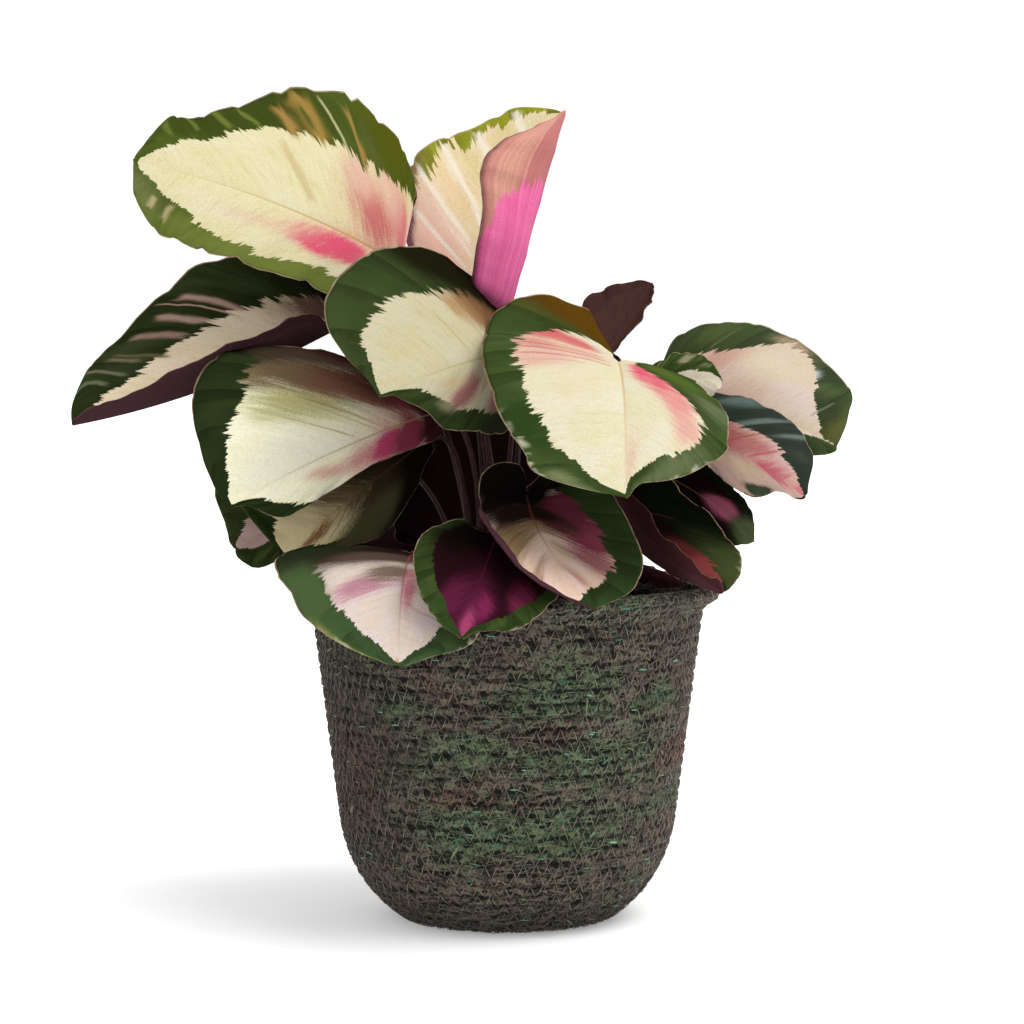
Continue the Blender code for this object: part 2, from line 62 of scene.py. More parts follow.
# Each leaf stands on the solid of its name. base, tip, left and right: the two ends of the midrib
# and the widest points of the margins, in millimetres. root: where its stalk starts, in plan.
# arch and sway: how far the midrib bows up and sideways. turn: the curl of each half blade in
# degrees. belly: where each half is widest. lobe, spread, lobe_in and lobe_up: the rounded ears
# beside the base. reach: how far a shoulder runs on near the tip. full_left and full_right: how
# round a half is before and behind its middle. swell_left and swell_right: its width at nine steps
# from base to tip. wave and waves: height and number of the ripples. veins and pleat: number and
# depth of the pleats. crimp, scallops and notch: the fine unevenness of the margin. lift and bend:
# how the stalk rises and how it meets the blade. shaped: a blade with its own margins, given as
# lines of points: the plain margin, the fold and the margin beyond the fold; roll, deep and cup
# say where along the blade its right half rolls over, how round the roll is and how hollow.
LEAVES = {
    "high_left": dict(
        base=(-47, 22, 285), tip=(-164, 14, 330), left=(-94, -2, 278), right=(-88, 52, 360),
        root=(-6, 3), arch=9, turn=(22, 20), belly=(1.15, 1.25), lobe=(0, 0.05), full_left=(0.9, 0.3),
        full_right=(0.45, 0.9), wave=(1, 2.2), waves=6.5, scallops=12, notch=0.06,
        swell_left=(1, 1, 1, 1, 1, 1.06, 1.14, 1.25, 1.4),
        swell_right=(1, 1, 1.18, 1.22, 1.12, 0.9, 0.72, 0.95, 0.9)),
    "high_back": dict(
        base=(-17, 50, 266), tip=(26, 48, 355), left=(-46, 66, 322), right=(16, 30, 320), root=(-1, 8),
        arch=3, sway=-13, crimp=0.5, pleat=0.5, veins=5, notch=0.16, scallops=6,
        cup=(0, 3, 0), deep=(0, 11, 0),
        shaped=(
            [(-17, 50, 266), (-36, 54, 281), (-47, 57, 299), (-47, 58, 316), (-44, 60, 333),
             (-32, 61, 343), (-16, 61, 348), (3, 58, 357), (26, 48, 355)],
            [(-13, 48, 266), (0, 42, 266), (6, 38, 282), (10, 37, 297), (14, 37, 312), (18, 38, 326),
             (22, 40, 340), (25, 44, 350), (26, 48, 355)],
            [(-17, 46, 267), (-16, 30, 278), (-14, 22, 292), (-11, 18, 309), (-12, 18, 324),
             (-9, 21, 334), (1, 28, 342), (14, 38, 348), (26, 48, 355)])),
    "low_left": dict(
        base=(-78, 25, 257), tip=(-190, 2, 215), left=(-126, -10, 244), right=(-133, 46, 283),
        root=(-13, 5), arch=-2, sway=-6, turn=(10, 25), belly=(1.2, 1.2), lobe=(0, 0.02),
        full_left=(0.9, 0.8), full_right=(0.9, 0.8), wave=(0.5, 1), waves=5,
        swell_left=(1, 1.6, 1.6, 1.25, 1.3, 1.05, 0.88, 1.1, 1.2),
        swell_right=(1, 1, 1, 1.05, 1.09, 1.04, 0.88, 1.02, 1.3)),
    "mid_left_top": dict(
        base=(0, 12, 246), tip=(-53, -72, 229), left=(-17, -34, 211), right=(-50, -11, 291),
        root=(-4, -6), arch=8, turn=(25, 20), lobe=(0.05, 0.42), lobe_up=0, spread=0.16, reach=(0, 0.16),
        full_left=(0.7, 0.6), full_right=(0.8, 0.38), wave=(1, 1),
        swell_left=(1, 1.5, 1.4, 1.12, 0.94, 0.77, 0.38, 0.15, 0.2),
        swell_right=(1, 0.8, 1, 1.02, 1.02, 1.03, 0.94, 0.65, 0.4)),
    "front_right": dict(
        base=(48, -10, 243), tip=(47, -108, 189), left=(93, -62, 215), right=(-10, -50, 238),
        root=(8, -3), arch=9, turn=(25, 22), lobe=(0.03, 0.3), lobe_up=0.6, spread=0.3,
        lobe_in=(0.13, 0.035), full_left=(0.7, 0.6), full_right=(0.65, 0.5), wave=(1, 1),
        swell_left=(1, 1.3, 0.95, 1, 0.97, 0.96, 0.72, 0.26, 0.2),
        swell_right=(1, 1.05, 1.13, 1.05, 1.01, 0.97, 0.95, 1.1, 2)),
    "mid_left": dict(
        base=(-32, 0, 220), tip=(-117, -48, 182), left=(-62, -28, 187), right=(-109, -6, 247),
        root=(-11, -3), arch=7, turn=(20, 22), lobe=(0.03, 0.02), full_left=(0.7, 0.7),
        full_right=(1.1, 0.4), wave=(1, 1), swell_left=(1, 0.9, 0.74, 0.58, 0.63, 0.78, 0.95, 0.42, 0.3),
        swell_right=(1, 1, 0.95, 0.95, 1.06, 1.11, 1, 0.75, 0.5)),
    "lower_left": dict(
        base=(-35, 8, 208), tip=(-97, -22, 160), left=(-44, -12, 174), right=(-83, 18, 208),
        root=(-16, -8), arch=4, sway=-2, turn=(15, 15), lobe=(0.04, 0.04), wave=(1, 1),
        full_right=(0.8, 0.35), swell_left=(1, 0.4, 0.45, 0.64, 0.87, 0.96, 0.8, 0.55, 0.5),
        swell_right=(1, 1, 1, 1, 1, 1, 1.3, 2.2, 3.2)),
    "far_left_low": dict(
        base=(-58, 50, 193), tip=(-121, 22, 159), left=(-84, 25, 161), right=(-115, 40, 202),
        root=(-19, 7), arch=5, turn=(15, 15), full_left=(0.8, 0.6), full_right=(0.8, 0.6), wave=(1, 1),
        swell_right=(1, 1, 1, 1, 1, 1, 0.95, 0.6, 0.5)),
    "drape_left": dict(
        base=(-40, -46, 162), tip=(-43, -122, 123), left=(-3, -88, 152), right=(-97, -62, 155),
        root=(-11, -13), arch=10, turn=(30, 25), belly=(1.05, 1.05), lobe=(0.06, -0.03),
        full_left=(0.7, 0.7), full_right=(0.7, 0.55), wave=(1, 1),
        swell_left=(1, 1, 1, 1, 1, 1, 1.04, 1.08, 0.7),
        swell_right=(1, 1, 1, 1.05, 0.98, 0.87, 0.81, 0.68, 0.35)),
    "drape_mid": dict(
        base=(-4, -55, 171), tip=(-18, -124, 134), left=(21, -101, 150), right=(-36, -100, 164),
        root=(-2, -17), turn=(-20, -20), belly=(1.05, 1.05), lobe=(0, 0.12),
        full_left=(1.3, 0.8), full_right=(0.6, 0.8), wave=(0.8, 0.8),
        swell_left=(1, 1, 1, 1, 1, 0.93, 0.9, 0.46, 0.3),
        swell_right=(1, 1, 1.2, 1.15, 1.07, 0.98, 0.88, 0.85, 0.3)),
    "centre_low": dict(
        base=(8, -30, 188), tip=(35, -108, 144), left=(50, -62, 179), right=(2, -64, 174), root=(3, -9),
        arch=5, sway=6, roll=(0.36, 0.55), deep=(0, 3, -2), cup=(0, 2, -3), pleat=0.35,
        shaped=(
            [(8, -30, 188), (16, -28, 196), (29, -30, 197), (40, -38, 192), (47, -50, 183),
             (53, -64, 171), (56, -78, 160), (50, -95, 150), (35, -108, 144)],
            [(8, -30, 192), (5, -34, 199), (-4, -40, 200), (-11, -51, 195), (-11, -70, 182),
             (-3, -91, 170), (6, -104, 160), (18, -111, 152), (35, -108, 144)],
            [(8, -30, 192), (5, -34, 199), (-4, -40, 200), (-11, -51, 195), (-11, -71, 183),
             (-2, -92, 172), (7, -105, 161), (19, -111, 153), (35, -108, 144)])),
    "right_low": dict(
        base=(41, 15, 190), tip=(89, -62, 147), left=(90, -15, 173), right=(67, -52, 169), root=(16, -4),
        arch=-7, sway=8, turn=(20, 10), belly=(1.2, 1.2), wave=(1.2, 1.2),
        swell_left=(1, 1, 1, 1, 1, 1, 0.9, 0.8, 0.8)),
    "right_low_back": dict(
        base=(64, 35, 194), tip=(108, 5, 164), left=(99, 30, 189), right=(82, 4, 166), root=(18, 4),
        arch=5, turn=(15, 15), wave=(1, 1), swell_left=(1, 1.5, 1.4, 1.25, 1, 0.85, 0.75, 0.6, 0.4),
        swell_right=(1, 1, 1, 1, 0.95, 0.85, 0.75, 0.6, 0.4)),
    "right_tip": dict(
        base=(69, 5, 217), tip=(126, -40, 186), left=(111, 0, 225), right=(93, -25, 193), root=(15, -10),
        turn=(25, 20), full_left=(0.8, 0.6), full_right=(0.8, 0.6), wave=(0.8, 0.8),
        swell_left=(1, 0.95, 0.94, 0.96, 0.95, 1.01, 0.98, 0.94, 0.4),
        swell_right=(1, 0.8, 0.8, 0.85, 1.08, 1.2, 0.6, 0.58, 0.6)),
    "right_far": dict(
        base=(66, 32, 232), tip=(145, 12, 205), left=(119, 45, 258), right=(101, 10, 208), root=(11, 5),
        arch=7, turn=(22, 18), reach=(0.06, 0), wave=(0.4, 0.4), crimp=0.25, full_left=(0.8, 0.35),
        full_right=(0.8, 0.5), swell_left=(1, 1.1, 1.05, 1, 0.97, 0.95, 0.86, 0.9, 1.2),
        swell_right=(1, 1, 1, 1, 1, 0.95, 0.85, 0.72, 0.6)),
    "small_right": dict(
        base=(61, 5, 231), tip=(92, -14, 235), left=(75, 5, 246), right=(79, -14, 226), root=(12, 1),
        arch=3, turn=(15, 15), wave=(0.8, 0.8)),
    "back_dark": dict(
        base=(41, 58, 242), tip=(66, 80, 278), left=(61, 62, 262), right=(37, 80, 272), root=(7, 14),
        arch=2, full_left=(0.8, 0.7), full_right=(0.8, 0.7), wave=(1.2, 0.8),
        swell_left=(1, 1, 1, 1, 1, 0.95, 0.85, 0.8, 0.8),
        swell_right=(1, 1, 1, 1, 1, 0.85, 0.68, 0.6, 0.6)),
    "rim_low": dict(
        base=(45, 10, 155), tip=(77, -5, 146), left=(64, 12, 151), right=(57, -16, 147), root=(20, -12),
        arch=2, turn=(10, 10), wave=(0.5, 0.5)),
    "back_left_high": dict(
        base=(-35, 50, 262), tip=(-98, 115, 278), left=(-90, 52, 272), right=(-36, 106, 270),
        root=(-10, 11)),
    "back_mid_high": dict(
        base=(8, 58, 242), tip=(12, 128, 252), left=(-28, 92, 247), right=(48, 87, 250), root=(3, 12),
        lift=0.7),
    "back_right": dict(
        base=(36, 50, 214), tip=(98, 112, 218), left=(40, 102, 215), right=(88, 54, 221), root=(12, 11)),
    "back_low_left": dict(
        base=(-40, 58, 153), tip=(-90, 116, 148), left=(-91, 65, 160), right=(-34, 100, 192),
        root=(-15, 13), lift=0.2),
    "back_low_mid": dict(
        base=(10, 84, 162), tip=(18, 132, 138), left=(-14, 110, 151), right=(41, 103, 155), root=(5, 20),
        lift=0.15),
    "back_low_right": dict(
        base=(46, 52, 186), tip=(102, 104, 162), left=(48, 100, 174), right=(95, 52, 180), root=(16, 14)),
    "back_mid": dict(
        base=(-8, 48, 158), tip=(-14, 64, 236), left=(22, 57, 200), right=(-44, 57, 194), root=(-3, 19),
        lift=0.3, swell_right=(1, 2.2, 1.7, 1.3, 1.1, 1, 1, 1, 1)),
}

USUAL = dict(
    arch=6, sway=0, turn=(20, 20), belly=(1.1, 1.1), lobe=(0.05, 0.05), lobe_up=0.3, spread=0.12,
    reach=(0, 0), full_left=(0.8, 0.8), full_right=(0.8, 0.8), wave=(1.5, 1.5), waves=4.5, lift=0.45,
    bend=0.3, pleat=0.45, veins=9, crimp=0.4, lobe_in=(0.13, 0.13), swell_left=(1,) * 9,
    swell_right=(1,) * 9, scallops=8, notch=0.02, shaped=None, roll=(-1, 0), deep=(0, 13, 0),
    cup=(0, 4, 0))
WIDEST = 0.96               # share of the midrib at which an even blade's margin ends


def unit(v):
    return v / np.maximum(np.linalg.norm(v, axis=-1, keepdims=True), 1e-9)


def ease(x, low, high):
    """0 below low, 1 above high and a smooth step between them."""
    x = np.clip((x - low) / (high - low), 0, 1)
    return x * x * (3 - 2 * x)


def swell(t, heights):
    """A smooth curve through evenly spaced heights, for t from 0 to 1."""
    h = np.array([heights[0], *heights, heights[-1]], float)
    x = np.clip(t, 0, 1) * (len(heights) - 1)
    i = np.minimum(x.astype(int), len(heights) - 2)
    f = x - i
    a, b, c, d = h[i], h[i + 1], h[i + 2], h[i + 3]
    return b + f * (c - a + f * (2 * a - 5 * b + 4 * c - d + f * (3 * (b - c) + d - a))) / 2


class Leaf:
    """One leaf: a curved midrib with two half blades hung on it."""

    def __init__(self, shape):
        self.s = {**USUAL, **shape}
        s = self.s
        self.base, self.tip, *sides = (np.array(s[k], float) for k in ("base", "tip", "left", "right"))
        along = unit(self.tip - self.base)
        self.length = np.linalg.norm(self.tip - self.base)
        self.up = unit(np.cross(sides[1] - sides[0], along))
        across = np.cross(along, self.up)
        middle = (self.base + self.tip) / 2
        self.ctrl = middle + 2 * (s["arch"] * self.up + s["sway"] * across)
        self.out, self.rise = [], []
        for point, belly in zip(sides, s["belly"]):
            d = point - self.midrib(np.array(0.5 ** belly * WIDEST))
            self.out.append(d)
            self.rise.append(unit(self.up - (self.up @ d) / (d @ d) * d) * np.linalg.norm(d))

    def midrib(self, a):
        """Points of the midrib, from base to tip and a little back beyond the base."""
        a = np.asarray(a)[..., None]
        on = np.maximum(a, 0)
        curve = (1 - on) ** 2 * self.base + 2 * on * (1 - on) * self.ctrl + on ** 2 * self.tip
        back = unit(self.ctrl - self.base) - self.s["lobe_up"] * self.up
        return curve + np.minimum(a, 0) * self.length * back

    def surface(self, t, u):
        """Point of the blade: t runs along a side vein's place from base to tip, u across."""
        s, right, v = self.s, u > 0, np.abs(u)
        arc = np.maximum(np.sin(np.pi * t), 0)
        if s["shaped"]:
            self.width = np.sqrt(arc)
            return self.shaped(t, v, right)

        def side(pair):
            return np.where(right, pair[1], pair[0])

        edge = (1 - np.cos(np.pi * t)) / 2
        belly = side(s["belly"])
        lobe = side(s["lobe"]) * np.exp(-((t - 0.16) / s["spread"]) ** 2) * ease(t, 0, side(s["lobe_in"]))
        reach = side(s["reach"]) * np.exp(-((t - 0.80) / 0.13) ** 2) * ease(1 - t, 0, 0.1)
        near_tip = ease(t, 0.86, 1.0)
        margin = edge ** belly * WIDEST + (1 - WIDEST) * near_tip - lobe + reach
        start = edge ** (belly + 0.65)
        along = start + (margin - start) * (0.6 * v + 0.4 * v * v)
        full = side([np.where(t < 0.5, *s[k]) for k in ("full_left", "full_right")])
        self.width = arc ** full * (1 - 0.28 * near_tip) * side(
            [swell(t, s[k]) for k in ("swell_left", "swell_right")])
        notch = 1 - np.abs(np.sin(np.pi * s["scallops"] * t + np.where(right, 0.3, 1.4)))
        width = self.width * (1 - s["notch"] * notch ** 3)
        turn = np.radians(side(s["turn"]))
        radius = 0.5 / np.sin(turn / 2)
        x = radius * (np.sin(turn / 2) + np.sin(turn * (v - 0.5)))
        z = radius * (np.cos(turn * (v - 0.5)) - np.cos(turn / 2))
        ripple = side(s["wave"]) * v ** 3 * np.sqrt(arc) * np.sin(
            2 * np.pi * (s["waves"] * t + np.where(right, 0.61, 0.13)))
        out, rise = (np.where(right[..., None], pair[1], pair[0]) for pair in (self.out, self.rise))
        return (self.midrib(along) + (width * x)[..., None] * out
                + (width * z)[..., None] * rise + ripple[..., None] * self.up)

    def shaped(self, t, v, right):
        """A blade with its own margins, its right half rolled back over along a fold."""
        s = self.s
        plain, fold, margin = (np.stack([swell(t, [q[i] for q in line]) for i in range(3)], -1)
                               for line in s["shaped"])
        start, v = self.midrib(t ** 2), v[..., None]
        notch = s["notch"] * 12 * (1 - np.abs(np.sin(np.pi * s["scallops"] * t))) ** 3
        plain = plain - notch[..., None] * unit(plain - start)
        cup = np.sin(np.pi * v) * np.array(s["cup"], float) * np.clip((1 - t) * 6, 0, 1)[..., None]
        flat = start + (plain - start) * v + cup
        halfway = (start + margin) / 2
        rolled = ease(t, *s["roll"])[..., None]
        fold = halfway + (fold - halfway) * rolled
        middle = (fold - (start + margin) / 8) * 4 / 3
        deep = np.array(s["deep"], float) * rolled * np.clip((1 - t) * 4, 0, 1)[..., None]
        over = (start * (1 - v) ** 3 + 3 * (middle + deep) * v * (1 - v) ** 2
                + 3 * (middle - deep) * v * v * (1 - v) + margin * v ** 3) + cup * (1 - rolled)
        return np.where(right[..., None], over, flat)

    def stalk(self, count):
        """Centre line of the stalk, from the rootstock into the foot of the midrib."""
        foot = np.array([*self.s["root"], STALK_Z])
        reach = np.linalg.norm(self.base - foot)
        end_way = unit(self.ctrl - self.base)
        head = self.base + 0.6 * end_way - 0.5 * self.up
        a = foot + np.array([0, 0, reach * self.s["lift"]])
        b = head - end_way * reach * self.s["bend"]
        k = np.linspace(0, 1, count)[:, None]
        return (1 - k) ** 3 * foot + 3 * k * (1 - k) ** 2 * a + 3 * k * k * (1 - k) * b + k ** 3 * head


# ---------------------------------------------------------------- shader maths
def maths(operation, reflected=False):
    """A method that joins a socket with other sockets or numbers in one Math node."""
    def method(self, *others):
        values = (*others, self) if reflected else (self, *others)
        return self.shader.node("Math", {"operation": operation}, dict(enumerate(values)))
    return method


class Value:
    """A shader socket that Python sums work on; each operator adds one Math node."""

    def __init__(self, shader, socket):
        self.shader, self.socket = shader, socket

    __add__, __radd__ = maths("ADD"), maths("ADD", True)
    __sub__, __rsub__ = maths("SUBTRACT"), maths("SUBTRACT", True)
    __mul__, __rmul__ = maths("MULTIPLY"), maths("MULTIPLY", True)
    __truediv__, __pow__, __gt__ = maths("DIVIDE"), maths("POWER"), maths("GREATER_THAN")
    __abs__, fract, sin, exp = maths("ABSOLUTE"), maths("FRACT"), maths("SINE"), maths("EXPONENT")


class Shader:
    """A material with one principled surface."""

    def __init__(self, name, **fixed):
        self.material = bpy.data.materials.new(name)
        self.material.use_nodes = True
        self.nodes = self.material.node_tree.nodes
        self.links = self.material.node_tree.links
        self.surface = self.nodes["Principled BSDF"]
        for socket, value in fixed.items():
            self.surface.inputs[socket.replace("_", " ")].default_value = value

    def node(self, kind, settings, values, out=0):
        """Any node: its settings first, then the values or links of its sockets."""
        made = self.nodes.new("ShaderNode" + kind)
        for name, value in settings.items():
            setattr(made, name, value)
        for name, value in values.items():
            if isinstance(value, Value):
                self.links.new(value.socket, made.inputs[name])
            else:
                colour = made.inputs[name].type == "RGBA"
                made.inputs[name].default_value = (*value, 1.0) if colour else value
        return Value(self, made.outputs[out])

    def split(self, vector):
        return [self.node("SeparateXYZ", {}, {0: vector}, i) for i in range(3)]

    def attribute(self, name):
        return self.split(self.node("Attribute", {"attribute_name": name}, {}, "Vector"))

    def place(self, *stretch):
        """The point in the object's own space, in millimetres, stretched along x, y and z."""
        point = self.node("TexCoord", {}, {}, "Object")
        scale = [c / MM for c in stretch or (1, 1, 1)]
        return self.node("VectorMath", {"operation": "MULTIPLY"}, {0: point, 1: scale})

    def vector(self, x, y=0.0, z=0.0):
        return self.node("CombineXYZ", {}, {0: x, 1: y, 2: z})

    def noise(self, vector, scale=1.0, detail=2.0, rough=0.5):
        sockets = {"Vector": vector, "Scale": scale, "Detail": detail, "Roughness": rough}
        return self.node("TexNoise", {}, sockets)

    def smooth(self, value, low, high):
        """0 up to low, 1 from high on and a smooth step between them."""
        sockets = {"Value": value, "From Min": low, "From Max": high}
        return self.node("MapRange", {"interpolation_type": "SMOOTHSTEP"}, sockets)

    def mix(self, share, first, second):
        settings = {"data_type": "RGBA", "clamp_factor": True}
        return self.node("Mix", settings, {0: share, 6: first, 7: second}, 2)

    def over(self, colour, overlay, value, low, high, share=1.0):
        """One colour laid over another, growing up to share as value goes from low to high."""
        mask = self.smooth(value, low, high)
        return self.mix(mask if share == 1.0 else mask * share, colour, overlay)

    def curve(self, value, heights):
        """A smooth curve through evenly spaced heights, for value from 0 to 1."""
        made = self.nodes.new("ShaderNodeValToRGB")
        made.color_ramp.interpolation = "CARDINAL"
        stops = made.color_ramp.elements
        last = len(heights) - 1
        for i in range(1, last):
            stops.new(i / last)
        for stop, height in zip(stops, heights):
            stop.color = (height, height, height, 1)
        self.links.new(value.socket, made.inputs[0])
        return Value(self, made.outputs[0])

    def bump(self, height, distance, strength=1.0):
        """Fine relief of the surface, distance millimetres deep."""
        self.set(Normal=self.node("Bump", {}, {"Height": height, "Distance": distance * MM,
                                               "Strength": strength}))

    def set(self, **sockets):
        for name, value in sockets.items():
            self.links.new(value.socket, self.surface.inputs[name.replace("_", " ")])


def scaled(colour, *factors, most=1.0):
    """A colour times one factor, or times a factor each for red, green and blue."""
    factors = factors * 3 if len(factors) == 1 else factors
    return tuple(min(c * f, most) for c, f in zip(colour, factors))


# ---------------------------------------------------------------- leaf colours
# Colours and marks of the leaves are in hundredths: (3.4, 5.6, 1.4) is a dark green.
GREEN, DEEP_GREEN, PALE_GREEN, OLIVE = (3.4, 5.6, 1.4), (1.5, 2.7, 0.7), (12, 16.5, 6), (13, 15.5, 3)
CREAM, BLUSH, ROSE, HOT_PINK = (61, 55.5, 32), (60, 37, 29), (46, 13.5, 12), (60, 8, 14)
MAROON, PLUM, TAN, BROWN, STRAW = (2.6, 0.7, 0.9), (5, 1.8, 2.2), (30, 18.5, 5), (6, 3, 1.6), (42, 35, 18)
IN_HUNDREDTHS = ("left", "right", "green", "cream", "under", "rib", "feather", "patches",
                 "band_patches", "shades", "strokes")

# How a leaf is coloured. left and right: how far the cream middle reaches towards the margin, at
# equal steps from base to tip. green and cream: the band's and the middle's colour. under: the
# back below the band and below the middle. patches: (t, u, length, width, colour, strength) soft
# stains on the cream, with how far they lean towards the tip if not as the side veins do; on some
# leaves a few of them are painted shade. band_patches the same on the band, a few of them painted
# highlights. shades the same over both, most of them painted shade and shadow and the rest the
# leaf's own colours. strokes: (t, from u, to u, thickness, colour, strength) along one side vein of
# the upper face. feather: pale lines in the band, with their colour and strength. rib: midrib colour.
# lines: number and strength of the broad pale side veins. pale_edge: how frosted the margin is.
# teeth: how torn the middle's edge is. sweep: how far a side vein runs on towards the tip on its way
# out. shine: gloss. glow: a painted glow, the face giving off its own colour as light in place of
# light through a thin blade. flap: the rolled-over back is rose above and magenta below. tip: where
# the middle ends.
PLAIN = dict(
    left=(50, 55, 60, 65, 70, 50, 0), right=(50, 55, 60, 65, 70, 50, 0), green=GREEN, cream=CREAM,
    under=(MAROON, PLUM), patches=(), band_patches=(), shades=(), strokes=(), feather=(PALE_GREEN, 20),
    rib=(36, 22, 9), lines=(8, 0), pale_edge=0, teeth=1, sweep=0.12, shine=0.0, glow=0.0, flap=False,
    tip=0.97)
MARGIN = (0.982, 0.995)     # where across a half blade its thin pale margin sets in
MOTTLED = (0.42, 0.75)      # the range of the finest grain that darkens a blade
